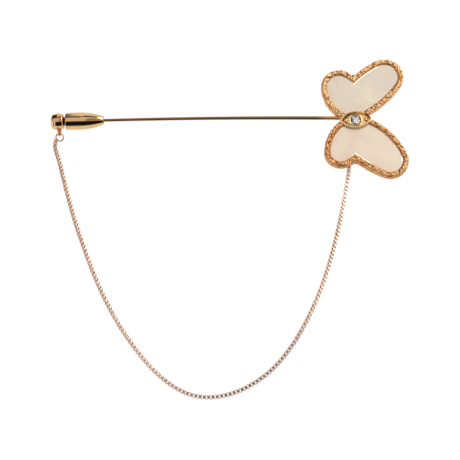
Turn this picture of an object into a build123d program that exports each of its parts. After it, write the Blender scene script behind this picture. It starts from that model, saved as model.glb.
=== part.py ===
"""Jabot pin: a butterfly of two shell wings at one end of a pin stem, with a clutch and a safety chain.

The pin lies face up on the plane Z = 0. The origin is on that plane, under the middle of the pointed
oval setting between the wings. X runs from the clutch to the butterfly and Z points up. Lengths are in
millimetres and angles in degrees."""
from build123d import *
from math import asin, cos, degrees, hypot, pi, radians, sin, tan
import os

# Wings
wing_reach = 14.0           # from the middle of the setting to the top of a far lobe
frame_width = 1.2           # width of the gold band round a shell
frame_height = 1.9          # from the back of a wing to the crest of its band
frame_crown = 0.42          # rounding of the band's upper edges
frame_undercut = 0.35       # how far the outer wall draws in towards the back
notch_round = 1.1           # rounding of the band's outer notch
back_lift = 0.95            # from the surface to the backs of the wings
tray_floor = 0.4            # thickness of a wing's closed back

# Shell plates
shell_thickness = 1.05
shell_bevel = 0.18
shell_gap = 0.05            # clearance round a plate and under it

# Setting
setting_length = 6.9
setting_width = 3.95
setting_turn = 2.5          # how far its points are turned from the X axis
setting_height = 2.1        # from the backs of the wings to the rim
rim_width = 0.36
recess_depth = 0.55
collet_wall = 0.26
collet_lip = 0.18           # how far the collet stands above the girdle
girdle_rise = 0.08          # from the floor of the recess to the girdle
bead_radius = 0.4
bead_offset = 2.2           # from the axis of the stone to that of a bead
foot_radius = 1.5           # round boss on the back, which the pin rests on

# Stone
stone_diameter = 2.2
stone_gap = 0.04
girdle_share = 0.035        # half the height of the girdle, as a share of the stone's radius
table_share = 0.31          # height of the table above the girdle, as a share of the stone's radius
culet_slope = 41.0

# Stem
stem_length = 51.3          # from its root in the frames to the mouth of the clutch
stem_root_x = -2.8          # in plan
stem_root_y = 0.73
stem_root_turn = 179.4      # its direction there, towards the clutch
stem_bend = 2.3             # how far it turns on the way
stem_root_radius = 0.4
stem_radius = 0.31          # where it enters the clutch
stem_sections = 6
point_length = 2.2
point_radius = 0.06
surface_clearance = 0.02

# Clutch
sleeve_length = 8.2
sleeve_radius = 1.875
sleeve_straight = 3.0       # how much of the sleeve is a cylinder
sleeve_nose_radius = 0.98
sleeve_nose_length = 0.3
sleeve_nose_step = 0.08
sleeve_chamfer = 0.14
knob_length = 2.76
knob_radius = 1.8
knob_end_radius = 1.68      # at both ends of its barrel shape
knob_end_dome = 0.12
knob_left_round = 0.7
knob_right_round = 0.4
neck_radius = 0.9
neck_show = 0.48            # neck seen between the knob and the sleeve
sleeve_travel = 1.0         # how far the sleeve slides off the neck
neck_grip = 2.4             # neck left inside the sleeve at the end of that travel
point_depth = 2.4           # stem inside the neck
running_gap = 0.06
end_gap = 0.4

# Lug and jump ring
lug_offset = 1.02           # from the knob's right face to the middle of the lug
lug_reach = 2.6             # from the axis of the knob to the hole
lug_droop = 24.0            # below the level of the axis
lug_thickness = 0.5
lug_root_thickness = 1.25
lug_root_reach = 1.3
lug_round = 0.5             # radius round the hole
lug_hole_radius = 0.25
ring_radius = 0.8           # to the middle of the wire
ring_wire = 0.3

# Chain and its eye
chain_width = 0.85
eye_radius = 0.55           # to the middle of the wire
eye_wire = 0.3
eye_sink = 0.05             # how deep its ends are let into the back of the wing
eye_x = -1.36
eye_y = -8.3

# Outlines of the shells. One starts beside the setting, goes up round the near lobe to the notch, and
# comes back round the far lobe. Its start and its radii are shares of the wing's reach.
wing_outlines = {
    "upper": {"side": 1, "x_share": -0.221, "y_share": 0.157, "heading": 141.0, "notch_turn": 100.0},
    "lower": {"side": -1, "x_share": -0.200, "y_share": 0.104, "heading": 140.0, "notch_turn": 89.5},
}
wing_arcs = {
    "upper": {
        "near_side": {"radius_share": 0.543, "turn": 49.0},
        "near_lobe": {"radius_share": 0.193, "turn": 119.0},
        "into_notch": {"radius_share": 0.400, "turn": 26.0},
        "out_of_notch": {"radius_share": 1.571, "turn": 18.0},
        "far_lobe": {"radius_share": 0.204, "turn": 154.0},
        "far_side": {"radius_share": 1.643, "turn": 24.0},
    },
    "lower": {
        "near_side": {"radius_share": 0.564, "turn": 48.5},
        "near_lobe": {"radius_share": 0.157, "turn": 112.5},
        "into_notch": {"radius_share": 0.400, "turn": 29.0},
        "out_of_notch": {"radius_share": 2.071, "turn": 14.5},
        "far_lobe": {"radius_share": 0.196, "turn": 136.0},
        "far_side": {"radius_share": 0.957, "turn": 45.0},
    },
}

# Facets of the stone. A facet passes through a point at a reach from the axis and a rise from the
# girdle, both shares of the stone's radius, and slopes to the girdle at its angle.
crown_facets = {
    "mains": {"count": 8, "first": 0.0, "slope": 34.5, "reach_share": 1.0, "rise_share": girdle_share},
    "halves": {"count": 16, "first": 11.25, "slope": 41.5, "reach_share": 0.981, "rise_share": girdle_share},
    "stars": {"count": 8, "first": 22.5, "slope": 22.0, "reach_share": 0.554, "rise_share": table_share},
}
pavilion_facets = {
    "mains": {"count": 8, "first": 0.0, "slope": 41.0, "reach_share": 1.0, "rise_share": girdle_share},
    "halves": {"count": 16, "first": 11.25, "slope": 42.3, "reach_share": 0.981, "rise_share": girdle_share},
}

# Route of the chain in plan, from the jump ring to the eye
chain_route = [
    (-64.50, -4.00), (-64.70, -5.20), (-64.15, -6.90), (-63.35, -9.20), (-62.50, -12.40),
    (-61.20, -17.00), (-59.40, -22.80), (-57.00, -29.30), (-54.15, -36.25), (-50.55, -43.25),
    (-46.10, -49.85), (-41.05, -55.55), (-35.25, -59.25), (-29.45, -59.65), (-23.80, -57.85),
    (-18.15, -53.90), (-13.50, -47.90), (-9.80, -40.90), (-7.10, -34.10), (-5.05, -27.20),
    (-3.30, -19.90), (-2.25, -14.60), (-1.65, -11.30), (-1.40, -8.70),
]

# Levels and places that follow from the sizes
shell_level = back_lift + tray_floor + shell_gap
setting_top = back_lift + setting_height
recess_level = setting_top - recess_depth
stone_radius = stone_diameter / 2
girdle_level = recess_level + girdle_rise
seat_radius = stone_radius + stone_gap
seat_level = girdle_level - stone_radius * girdle_share - stone_gap
axis_level = sleeve_radius + surface_clearance
neck_depth = neck_grip + sleeve_travel
chain_level = chain_width / 2 + surface_clearance


def wing_face(name):
    """The outline of one shell as a face, closed under the setting."""
    wing = wing_outlines[name]
    side = wing["side"]
    first = Vector(wing["x_share"], side * wing["y_share"]) * wing_reach
    point = first
    heading = wing["heading"]
    with BuildSketch() as sketch:
        with BuildLine():
            for arc, row in wing_arcs[name].items():
                if arc == "out_of_notch":
                    heading = heading + wing["notch_turn"]
                edge = JernArc(
                    start=point,
                    tangent=(cos(radians(heading)), side * sin(radians(heading))),
                    radius=row["radius_share"] * wing_reach,
                    arc_size=-side * row["turn"],
                )
                point = edge @ 1
                heading = heading - row["turn"]
            Line(point, (0, 0))
            Line((0, 0), first)
        make_face()
    return sketch.sketch


def setting_face(grow):
    """The setting's outline, two arcs that meet in points, grown by a distance."""
    half_length = setting_length / 2
    half_width = setting_width / 2
    arc_radius = (half_length**2 + half_width**2) / (2 * half_width)
    middle = Vector(0, arc_radius - half_width).rotate(Axis.Z, setting_turn)
    with BuildSketch() as sketch:
        with Locations(middle):
            Circle(arc_radius + grow)
        with Locations(-middle):
            Circle(arc_radius + grow, mode=Mode.INTERSECT)
    return sketch.sketch


shell_faces = {name: wing_face(name) for name in wing_outlines}
shell_cut = setting_face(shell_gap)


def clear_of_setting(edges):
    """The arcs among some edges that lie outside the setting, seen in plan."""
    reach = setting_length / 2 + shell_gap
    arcs = edges.filter_by(GeomType.CIRCLE)
    return arcs.filter_by(lambda arc: hypot((arc @ 0.5).X, (arc @ 0.5).Y) > reach)


def notch_of(name):
    """The corner of one shell's outline in the notch."""
    corners = shell_faces[name].vertices().filter_by(lambda corner: abs(corner.X) < wing_reach / 10)
    return corners.sort_by(lambda corner: abs(corner.Y))[-1]


def wing_band(name):
    """The gold band round one shell, with the closed back of its tray."""
    with BuildPart() as band:
        with BuildSketch(Plane.XY.offset(back_lift)):
            add(shell_faces[name])
            offset(amount=frame_width, kind=Kind.ARC)
        extrude(amount=frame_height)
        notch = band.edges().filter_by(Axis.Z).sort_by_distance(notch_of(name))[0]
        fillet(notch, radius=notch_round)
        chamfer(band.faces().sort_by(Axis.Z)[0].edges(), length=frame_undercut)
        with BuildSketch(Plane.XY.offset(back_lift + tray_floor)):
            add(shell_faces[name])
            offset(amount=shell_gap, kind=Kind.INTERSECTION)
        extrude(amount=frame_height, mode=Mode.SUBTRACT)
        crest = band.faces().filter_by(Plane.XY).group_by(Axis.Z)[-1]
        fillet(clear_of_setting(crest.edges()), radius=frame_crown)
    return band.part


# Stem, drawn from its root in the frames to the mouth of the clutch
with BuildLine(Plane.XY.offset(axis_level)):
    stem_curve = JernArc(
        start=(stem_root_x, stem_root_y),
        tangent=(cos(radians(stem_root_turn)), sin(radians(stem_root_turn))),
        radius=stem_length / radians(stem_bend),
        arc_size=stem_bend,
    )
clutch_mouth = stem_curve @ 1
clutch_out = stem_curve % 1
straight_length = sleeve_length - neck_depth + point_depth - point_length
point_start = clutch_mouth + clutch_out * straight_length
point_end = point_start + clutch_out * point_length

# Soldered mount: two bands, the setting on its foot, the chain eye and the stem
bands = {name: wing_band(name) for name in wing_outlines}
bead_place = Vector(bead_offset, 0, recess_level).rotate(Axis.Z, setting_turn)
with BuildPart() as pin_mount:
    for band in bands.values():
        add(band)
    with BuildSketch(Plane.XY.offset(back_lift)):
        add(setting_face(0))
    extrude(amount=setting_height)
    with BuildSketch(Plane.XY):
        Circle(foot_radius)
    extrude(amount=back_lift + tray_floor)

    # Recess with the collet, the beads and the seat of the stone
    with BuildSketch(Plane.XY.offset(recess_level)):
        add(setting_face(-rim_width))
    extrude(amount=recess_depth, mode=Mode.SUBTRACT)
    with BuildSketch(Plane.XY.offset(recess_level)):
        Circle(seat_radius + collet_wall)
    extrude(amount=girdle_rise + collet_lip)
    with Locations(bead_place, Vector(-bead_place.X, -bead_place.Y, bead_place.Z)):
        Sphere(bead_radius)
    with BuildSketch(Plane.XY.offset(seat_level)):
        Circle(seat_radius)
    extrude(amount=recess_depth, mode=Mode.SUBTRACT)
    with BuildSketch(Plane.XZ):
        with BuildLine():
            Polyline(
                (0, seat_level),
                (seat_radius, seat_level),
                (0, seat_level - seat_radius * tan(radians(culet_slope))),
                close=True,
            )
        make_face()
    revolve(axis=Axis.Z, mode=Mode.SUBTRACT)

    # Tapered stem, then a straight stretch and the point
    for number in range(stem_sections):
        share = number / (stem_sections - 1)
        with BuildSketch(Plane(origin=stem_curve @ share, z_dir=stem_curve % share)):
            Circle(stem_root_radius + (stem_radius - stem_root_radius) * share)
    loft()
    with BuildSketch(Plane(origin=clutch_mouth, z_dir=clutch_out)):
        Circle(stem_radius)
    extrude(amount=straight_length)
    with BuildSketch(Plane(origin=point_start, z_dir=clutch_out)):
        Circle(stem_radius)
    with BuildSketch(Plane(origin=point_end, z_dir=clutch_out)):
        Circle(point_radius)
    loft()

    # Half ring on the back of the lower wing
    eye_middle = Vector(eye_x, eye_y, back_lift + eye_sink)
    with BuildSketch(Plane(origin=eye_middle + Vector(eye_radius, 0, 0), z_dir=(0, 0, 1))):
        Circle(eye_wire / 2)
    revolve(axis=Axis(eye_middle, (0, 1, 0)), revolution_arc=180)

# Shell plates, cut away round the setting and bevelled along their upper edges
shell_plates = {}
for name in wing_outlines:
    with BuildPart() as plate:
        with BuildSketch(Plane.XY.offset(shell_level)):
            add(shell_faces[name])
            add(shell_cut, mode=Mode.SUBTRACT)
        extrude(amount=shell_thickness)
        chamfer(clear_of_setting(plate.faces().sort_by(Axis.Z)[-1].edges()), length=shell_bevel)
    shell_plates[name] = plate.part

# Stone, a cylinder cut by its facets
with BuildPart(Plane.XY.offset(girdle_level)) as diamond:
    Cylinder(stone_radius, 2 * stone_radius)
    split(bisect_by=Plane.XY.offset(girdle_level + table_share * stone_radius), keep=Keep.BOTTOM)
    for rise, facets in ((1, crown_facets), (-1, pavilion_facets)):
        for row in facets.values():
            lean = radians(row["slope"])
            place = Vector(row["reach_share"], 0, rise * row["rise_share"]) * stone_radius
            outward = Vector(sin(lean), 0, rise * cos(lean))
            for number in range(row["count"]):
                turn = row["first"] + number * 360 / row["count"]
                facet = Plane(
                    origin=place.rotate(Axis.Z, turn) + Vector(0, 0, girdle_level),
                    z_dir=outward.rotate(Axis.Z, turn),
                )
                split(bisect_by=facet, keep=Keep.BOTTOM)

# Clutch, drawn along its own X axis from the open end of the sleeve towards the butterfly
clutch_plane = Plane(origin=clutch_mouth + clutch_out * sleeve_length, x_dir=-clutch_out, z_dir=(0, 0, 1))
clutch_axis = Axis(clutch_plane.origin, clutch_plane.x_dir)
nose_start = sleeve_length - sleeve_nose_length
nose_drop = sleeve_radius - sleeve_nose_radius
nose_run = nose_start - sleeve_straight
nose_arc = (nose_run**2 + nose_drop**2) / (2 * nose_drop)
with BuildPart() as clutch_sleeve:
    with BuildSketch(clutch_plane):
        with BuildLine():
            Polyline(
                (neck_depth + end_gap, 0),
                (neck_depth + end_gap, neck_radius + running_gap),
                (0, neck_radius + running_gap),
                (0, sleeve_radius - sleeve_chamfer),
                (sleeve_chamfer, sleeve_radius),
                (sleeve_straight, sleeve_radius),
            )
            JernArc(
                start=(sleeve_straight, sleeve_radius),
                tangent=(1, 0),
                radius=nose_arc,
                arc_size=-degrees(asin(nose_run / nose_arc)),
            )
            Polyline(
                (nose_start, sleeve_nose_radius),
                (nose_start, sleeve_nose_radius - sleeve_nose_step),
                (sleeve_length, sleeve_nose_radius - sleeve_nose_step),
                (sleeve_length, 0),
                (neck_depth + end_gap, 0),
            )
        make_face()
    revolve(axis=clutch_axis)
    with BuildSketch(Plane(origin=clutch_mouth, z_dir=clutch_out)):
        Circle(stem_radius + running_gap)
    extrude(amount=sleeve_length, mode=Mode.SUBTRACT)

knob_right = -neck_show
knob_left = knob_right - knob_length
dome_arc = (knob_end_radius**2 + knob_end_dome**2) / (2 * knob_end_dome)
with BuildPart() as clutch_plunger:
    with BuildSketch(clutch_plane) as knob_profile:
        with BuildLine():
            Line((knob_right, 0), (knob_right, knob_end_radius))
            ThreePointArc(
                (knob_right, knob_end_radius),
                ((knob_right + knob_left) / 2, knob_radius),
                (knob_left + knob_end_dome, knob_end_radius),
            )
            JernArc(
                start=(knob_left, 0),
                tangent=(0, 1),
                radius=dome_arc,
                arc_size=-degrees(asin(knob_end_radius / dome_arc)),
            )
            Line((knob_left, 0), (knob_right, 0))
        make_face()
        left_corner = knob_profile.vertices().sort_by(Axis.Y)[-2:].sort_by(Axis.X)[0]
        fillet(left_corner, radius=knob_left_round)
        right_corner = knob_profile.vertices().sort_by(Axis.Y)[-2:].sort_by(Axis.X)[-1]
        fillet(right_corner, radius=knob_right_round)
    revolve(axis=clutch_axis)
    with BuildSketch(Plane(origin=clutch_plane.from_local_coords((knob_right, 0, 0)), z_dir=-clutch_out)):
        Circle(neck_radius)
    extrude(amount=neck_show + neck_depth)
    with BuildSketch(Plane(origin=clutch_plane.from_local_coords((neck_depth, 0, 0)), z_dir=clutch_out)):
        Circle(stem_radius + running_gap)
    extrude(amount=point_depth + end_gap, mode=Mode.SUBTRACT)

    # Lug, a wedge that ends in a disc round the hole
    lug_middle = clutch_plane.from_local_coords((knob_right - lug_offset, 0, 0))
    lug_out = clutch_plane.y_dir * -cos(radians(lug_droop)) + Vector(0, 0, -sin(radians(lug_droop)))
    lug_root = lug_middle + lug_out * lug_root_reach
    hole_middle = lug_middle + lug_out * lug_reach
    with BuildSketch(Plane(origin=lug_root, x_dir=clutch_plane.x_dir, z_dir=lug_out)):
        Rectangle(lug_root_thickness, 2 * lug_round)
    with BuildSketch(Plane(origin=hole_middle, x_dir=clutch_plane.x_dir, z_dir=lug_out)):
        Rectangle(lug_thickness, 2 * lug_round)
    loft()
    lug_side = Plane(origin=hole_middle - clutch_plane.x_dir * lug_thickness / 2, z_dir=clutch_plane.x_dir)
    with BuildSketch(lug_side):
        Circle(lug_round)
    extrude(amount=lug_thickness)
    with BuildSketch(Plane(origin=hole_middle, z_dir=clutch_plane.x_dir)):
        Circle(lug_hole_radius)
    extrude(amount=lug_root_thickness, both=True, mode=Mode.SUBTRACT)

# Jump ring, hanging in the lug's hole with its lowest point on the surface
ring_drop = hole_middle.Z - ring_wire / 2 - surface_clearance
ring_lean = asin(ring_drop / (2 * ring_radius))
ring_out = clutch_plane.y_dir * -cos(ring_lean) + Vector(0, 0, -sin(ring_lean))
ring_plane = Plane(
    origin=hole_middle + ring_out * ring_radius,
    x_dir=clutch_plane.x_dir,
    z_dir=ring_out.cross(clutch_plane.x_dir),
)
with BuildPart(ring_plane) as jump_ring:
    Torus(ring_radius, ring_wire / 2)

# Chain, a tube along straight runs joined by tangent arcs
route = [Vector(x, y, chain_level) for x, y in chain_route]
bend_radii = []
for before, corner, after in zip(route, route[1:], route[2:]):
    turn = radians((corner - before).get_angle(after - corner))
    shorter = min((corner - before).length, (after - corner).length)
    bend_radii.append(0.45 * shorter / tan(turn / 2))
with BuildPart() as safety_chain:
    with BuildLine():
        chain_path = FilletPolyline(route, radius=bend_radii)
    with BuildSketch(Plane(origin=chain_path @ 0, z_dir=chain_path % 0)):
        Circle(chain_width / 2)
    sweep()
print("chain bend radii", [round(radius, 1) for radius in bend_radii])
tube_volume = pi * chain_width**2 / 4 * chain_path.length
print("chain length", round(chain_path.length, 2))
print("chain volume", round(safety_chain.part.volume, 3), "against", round(tube_volume, 3))
print("clutch axis", clutch_plane.x_dir)

pin_mount.part.label = "pin_mount"
shell_plates["upper"].label = "upper_wing_shell"
shell_plates["lower"].label = "lower_wing_shell"
diamond.part.label = "diamond"
clutch_sleeve.part.label = "clutch_sleeve"
clutch_plunger.part.label = "clutch_plunger"
jump_ring.part.label = "jump_ring"
safety_chain.part.label = "safety_chain"

os.makedirs("parts", exist_ok=True)
export_step(pin_mount.part, "parts/pin_mount.step")
export_step(shell_plates["upper"], "parts/upper_wing_shell.step")
export_step(shell_plates["lower"], "parts/lower_wing_shell.step")
export_step(diamond.part, "parts/diamond.step")
export_step(clutch_sleeve.part, "parts/clutch_sleeve.step")
export_step(clutch_plunger.part, "parts/clutch_plunger.step")
export_step(jump_ring.part, "parts/jump_ring.step")
export_step(safety_chain.part, "parts/safety_chain.step")
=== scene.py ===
"""Looks of a butterfly jabot pin that lies face up on a pale surface, with its chain beside it.

Two mother-of-pearl wings sit in bark-textured gold frames either side of a pointed oval setting. The pin
stem runs from it to a polished spring clutch, and a box chain lies in a loop from clutch to wing. Every
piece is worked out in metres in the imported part's own frame: X from clutch to butterfly, Z up.
"""

import logging
import math
from dataclasses import dataclass, field
from enum import Enum

import bpy
import numpy as np
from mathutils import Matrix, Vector

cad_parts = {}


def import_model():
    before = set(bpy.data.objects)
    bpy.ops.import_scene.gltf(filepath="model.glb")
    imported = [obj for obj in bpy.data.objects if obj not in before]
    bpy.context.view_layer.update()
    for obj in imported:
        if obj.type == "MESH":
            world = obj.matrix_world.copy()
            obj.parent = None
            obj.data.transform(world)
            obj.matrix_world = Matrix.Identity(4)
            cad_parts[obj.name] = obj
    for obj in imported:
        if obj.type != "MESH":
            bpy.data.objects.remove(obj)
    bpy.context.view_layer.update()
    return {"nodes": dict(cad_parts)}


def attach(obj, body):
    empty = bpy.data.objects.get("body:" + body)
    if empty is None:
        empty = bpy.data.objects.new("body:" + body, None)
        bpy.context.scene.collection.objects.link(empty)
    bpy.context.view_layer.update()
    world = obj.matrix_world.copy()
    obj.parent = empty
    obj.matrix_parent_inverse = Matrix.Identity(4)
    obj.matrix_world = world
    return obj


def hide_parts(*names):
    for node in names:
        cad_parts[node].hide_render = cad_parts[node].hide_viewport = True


MM = 0.001
UP = np.array([0.0, 0.0, 1.0])
WHITE = "#FFFFFF"
log = logging.getLogger("jabot_pin")


class Body(Enum):
    """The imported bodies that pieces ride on."""

    PIN = "pin"
    SLEEVE = "sleeve"


class Wing(Enum):
    """The two wings, by the side of the stem that they lie on."""

    UPPER = "upper"
    LOWER = "lower"

    @property
    def side(self) -> float:
        """1 above the stem, -1 below it."""
        return 1.0 if self is Wing.UPPER else -1.0


@dataclass
class Skin:
    """A surface: vertices in metres, and arrays of faces with three or four corners each.

    Attributes:
        vertices: N x 3 array of points.
        faces: arrays of vertex numbers, one array for each count of corners.
        values: named N-long arrays of numbers that a material reads from the vertices.
        finish: for each array in faces, which of the piece's materials it takes.
    """

    vertices: np.ndarray
    faces: list[np.ndarray]
    values: dict[str, np.ndarray] = field(default_factory=dict)
    finish: list[np.ndarray] = field(default_factory=list)

    def volume(self) -> float:
        """Signed volume, from the cones that the faces make with the origin."""
        total = 0.0
        for faces in self.faces:
            corners = self.vertices[faces]
            for second in range(1, faces.shape[1] - 1):
                cross = np.cross(corners[:, second], corners[:, second + 1])
                total += float(np.einsum("ij,ij->", corners[:, 0], cross)) / 6.0
        return total

    def facing_out(self) -> "Skin":
        """The same closed surface with its faces turned outwards."""
        if self.volume() < 0:
            self.faces = [faces[:, ::-1].copy() for faces in self.faces]
        return self


def joined(skins: list[Skin]) -> Skin:
    """Several skins as one, with their values and finishes.

    Args:
        skins: closed skins, each facing out.

    Returns:
        One skin that holds them all.
    """
    names = {name for skin in skins for name in skin.values}
    starts = np.cumsum([0] + [len(skin.vertices) for skin in skins])
    faces = [rows + start for skin, start in zip(skins, starts) for rows in skin.faces]
    finish = [rows for skin in skins for rows in skin.finish]
    values = {
        name: np.concatenate([skin.values.get(name, np.zeros(len(skin.vertices))) for skin in skins])
        for name in names
    }
    return Skin(np.concatenate([skin.vertices for skin in skins]), faces, values, finish)


def ring_stack(
    rings: np.ndarray,
    first_pole: np.ndarray | None = None,
    last_pole: np.ndarray | None = None,
    loop: bool = False,
    row_finish: np.ndarray | None = None,
) -> Skin:
    """A surface through closed rings, each joined to the next by quads, point for point.

    Args:
        rings: R x U x 3 array, R rings of U points.
        first_pole: a point that closes the first ring with a fan.
        last_pole: a point that closes the last ring with a fan.
        loop: whether the last ring joins the first, as on a torus.
        row_finish: R-long array, the material of the faces that follow each ring.

    Returns:
        The closed skin, facing out.
    """
    count, around = rings.shape[:2]
    numbers = np.arange(count * around).reshape(count, around)
    beside = np.roll(numbers, -1, axis=1)
    last = count if loop else count - 1
    upper = np.roll(numbers, -1, axis=0)[:last]
    upper_beside = np.roll(beside, -1, axis=0)[:last]
    quads = np.stack([numbers[:last], beside[:last], upper_beside, upper], axis=-1).reshape(-1, 4)
    row_finish = np.zeros(count, int) if row_finish is None else row_finish
    vertices = [rings.reshape(-1, 3)]
    faces, finish = [quads], [np.repeat(row_finish[:last], around)]
    for pole, row, flip in ((first_pole, 0, True), (last_pole, count - 1, False)):
        if pole is not None:
            tip = np.full(around, sum(len(points) for points in vertices))
            vertices.append(np.asarray(pole, float).reshape(1, 3))
            pair = (beside[row], numbers[row]) if flip else (numbers[row], beside[row])
            faces.append(np.stack([*pair, tip], axis=-1))
            finish.append(np.full(around, row_finish[row]))
    return Skin(np.concatenate(vertices), faces, {}, finish).facing_out()


def mesh_from(name: str, skin: Skin) -> bpy.types.Mesh:
    """A Blender mesh with a skin's points, faces, values and material numbers.

    Args:
        name: the mesh's name.
        skin: what it holds.

    Returns:
        The mesh, smooth shaded.
    """
    mesh = bpy.data.meshes.new(name)
    corners = np.concatenate([faces.ravel() for faces in skin.faces])
    sizes = np.concatenate([np.full(len(faces), faces.shape[1]) for faces in skin.faces])
    mesh.vertices.add(len(skin.vertices))
    mesh.vertices.foreach_set("co", skin.vertices.astype(np.float32).ravel())
    mesh.loops.add(len(corners))
    mesh.loops.foreach_set("vertex_index", corners.astype(np.int32))
    mesh.polygons.add(len(sizes))
    mesh.polygons.foreach_set("loop_start", (np.cumsum(sizes) - sizes).astype(np.int32))
    if skin.finish:
        mesh.polygons.foreach_set("material_index", np.concatenate(skin.finish).astype(np.int32))
    mesh.polygons.foreach_set("use_smooth", np.ones(len(sizes), bool))
    for value_name, numbers in skin.values.items():
        attribute = mesh.attributes.new(value_name, "FLOAT", "POINT")
        attribute.data.foreach_set("value", numbers.astype(np.float32))
    mesh.update(calc_edges=True)
    mesh.validate()
    return mesh


def unit(vectors: np.ndarray) -> np.ndarray:
    """Vectors scaled to length one."""
    return vectors / np.linalg.norm(vectors, axis=-1, keepdims=True)


def smooth_step(low: float, high: float, numbers: np.ndarray) -> np.ndarray:
    """0 below low, 1 above high, and a cubic ease between them."""
    share = np.clip((numbers - low) / (high - low), 0.0, 1.0)
    return share * share * (3.0 - 2.0 * share)


def turns(count: int) -> np.ndarray:
    """Angles in radians that go once round in even steps."""
    return np.linspace(0.0, 2.0 * math.pi, count, endpoint=False)


def ways(turn: np.ndarray) -> np.ndarray:
    """Directions (cos t, sin t) in the plane, one for each angle t in radians."""
    return np.stack([np.cos(turn), np.sin(turn)], axis=1)


def spokes(turn: np.ndarray, first: np.ndarray, second: np.ndarray) -> np.ndarray:
    """Directions cos(t) * first + sin(t) * second, one for each angle t in radians."""
    return np.cos(turn)[..., None] * first + np.sin(turn)[..., None] * second


def ring_values(rows: np.ndarray, first_pole: float, last_pole: float) -> np.ndarray:
    """The numbers on a ring stack's points, ring by ring, and then on its two poles."""
    return np.concatenate([rows.ravel(), [first_pole, last_pole]])


def turned_rings(profile: np.ndarray, origin: np.ndarray, axis: np.ndarray, around: int) -> np.ndarray:
    """The rings of a profile turned about an axis.

    A profile point (x, r) goes to origin + x * axis + r * (cos(t) * side + sin(t) * up).

    Args:
        profile: R x 2 array of places along the axis and radii.
        origin: where x is 0.
        axis: unit vector, level with the surface.
        around: points in a ring.

    Returns:
        R x around x 3 array of points.
    """
    spoke = spokes(turns(around), np.cross(UP, axis), UP)
    along = origin + profile[:, :1] * axis
    return along[:, None, :] + profile[:, 1][:, None, None] * spoke[None, :, :]


def arc_points(
    centre: tuple[float, float], radius: float, start: float, end: float, count: int
) -> np.ndarray:
    """Points along an arc of a profile, from one angle in degrees to another."""
    return np.array(centre) + radius * ways(np.radians(np.linspace(start, end, count)))


def evenly(points: np.ndarray, spacing: float) -> np.ndarray:
    """Points about a spacing apart along a polyline that keeps the polyline's own points.

    Args:
        points: N x 2 or N x 3 array.
        spacing: the most that two points may lie apart.

    Returns:
        The denser polyline.
    """
    lengths = np.linalg.norm(np.diff(points, axis=0), axis=1)
    counts = np.maximum(1, np.ceil(lengths / spacing).astype(int))
    starts = np.repeat(np.arange(len(lengths)), counts)
    steps = np.arange(counts.sum()) - np.repeat(np.cumsum(counts) - counts, counts)
    share = (steps / np.repeat(counts, counts))[:, None]
    inner = points[starts] * (1.0 - share) + points[starts + 1] * share
    return np.concatenate([inner, points[-1:]])


@dataclass(frozen=True)
class Dome:
    """The pebble in a cell of the bark: sizes in cells, heights in the bark's own measure."""

    margin: float = 0.15
    spread: float = 0.7
    least_crest: float = 0.75
    more_crest: float = 0.5
    tilt: float = 1.1
    fall: float = 1.9
    level: float = 0.55
    lowest: float = -9.0


def cells(along: np.ndarray, across: np.ndarray, grid: tuple[int, int], seed: int) -> np.ndarray:
    """A skin of pebbles: at each point, the height of the tallest of the domes round it.

    Each cell of a grid holds one dome, moved about its cell and tilted at random. A dome's height is its
    crest, plus its slopes times the steps from its middle, less its fall times the squared distance.

    Args:
        along: places in cells along the grid, which closes on itself.
        across: places in cells across it.
        grid: cells along and across.
        seed: what the random numbers start from.

    Returns:
        Heights of about -1 to 1, in the shape of along.
    """
    dome = Dome()
    draws = np.random.default_rng(seed).random((5, *grid))
    column, row = np.floor(along).astype(int), np.floor(across).astype(int)
    tallest = np.full(along.shape, dome.lowest)
    for column_step in (-1, 0, 1):
        for row_step in (-1, 0, 1):
            i, j = (column + column_step) % grid[0], (row + row_step) % grid[1]
            draw = draws[:, i, j]
            from_x = along - (column + column_step) - dome.margin - dome.spread * draw[0]
            from_y = across - (row + row_step) - dome.margin - dome.spread * draw[1]
            tilt = (draw[2] - 0.5) * from_x + (draw[3] - 0.5) * from_y
            crest = dome.least_crest + dome.more_crest * draw[4]
            height = crest + dome.tilt * tilt - dome.fall * (from_x**2 + from_y**2)
            tallest = np.maximum(tallest, height)
    return tallest - dome.level


def linear(colour: str) -> tuple[float, float, float, float]:
    """An sRGB hex colour as linear red, green, blue and an alpha of one."""
    shares = [int(colour[place : place + 2], 16) / 255.0 for place in (1, 3, 5)]
    turned = [share / 12.92 if share <= 0.04045 else ((share + 0.055) / 1.055) ** 2.4 for share in shares]
    return (*turned, 1.0)


# An output of a node: the node, and the output's name or number
Source = tuple[bpy.types.Node, str | int]


def add_node(
    tree: bpy.types.NodeTree,
    kind: str,
    settings: dict[str, object] | None = None,
    links: dict[str, Source] | None = None,
) -> bpy.types.Node:
    """A new node with its settings and the links into it.

    Args:
        tree: the node tree that it goes into.
        kind: the node's type name.
        settings: values by the name of a property or, failing that, of an input socket.
        links: for an input's name or number, the node and output that feed it.

    Returns:
        The node.
    """
    node = tree.nodes.new(kind)
    for name, value in (settings or {}).items():
        if hasattr(node, name):
            setattr(node, name, value)
        else:
            node.inputs[int(name) if name.isdigit() else name].default_value = value
    for name, (source, output) in (links or {}).items():
        tree.links.new(source.outputs[output], node.inputs[int(name) if name.isdigit() else name])
    return node


def worked(tree: bpy.types.NodeTree, operation: str, *operands: Source | float) -> Source:
    """A number that a Math node works out.

    Args:
        tree: the node tree that the node goes into.
        operation: what it does, by Blender's name.
        operands: what it takes, as plain numbers or their sources.

    Returns:
        The number's source.
    """
    settings: dict[str, object] = {"operation": operation}
    links: dict[str, Source] = {}
    for place, operand in enumerate(operands):
        (links if isinstance(operand, tuple) else settings)[str(place)] = operand
    return add_node(tree, "ShaderNodeMath", settings, links), 0


def add_object(name: str, data: bpy.types.ID) -> bpy.types.Object:
    """A new object in the scene, at the origin."""
    made = bpy.data.objects.new(name, data)
    bpy.context.scene.collection.objects.link(made)
    return made


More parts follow.
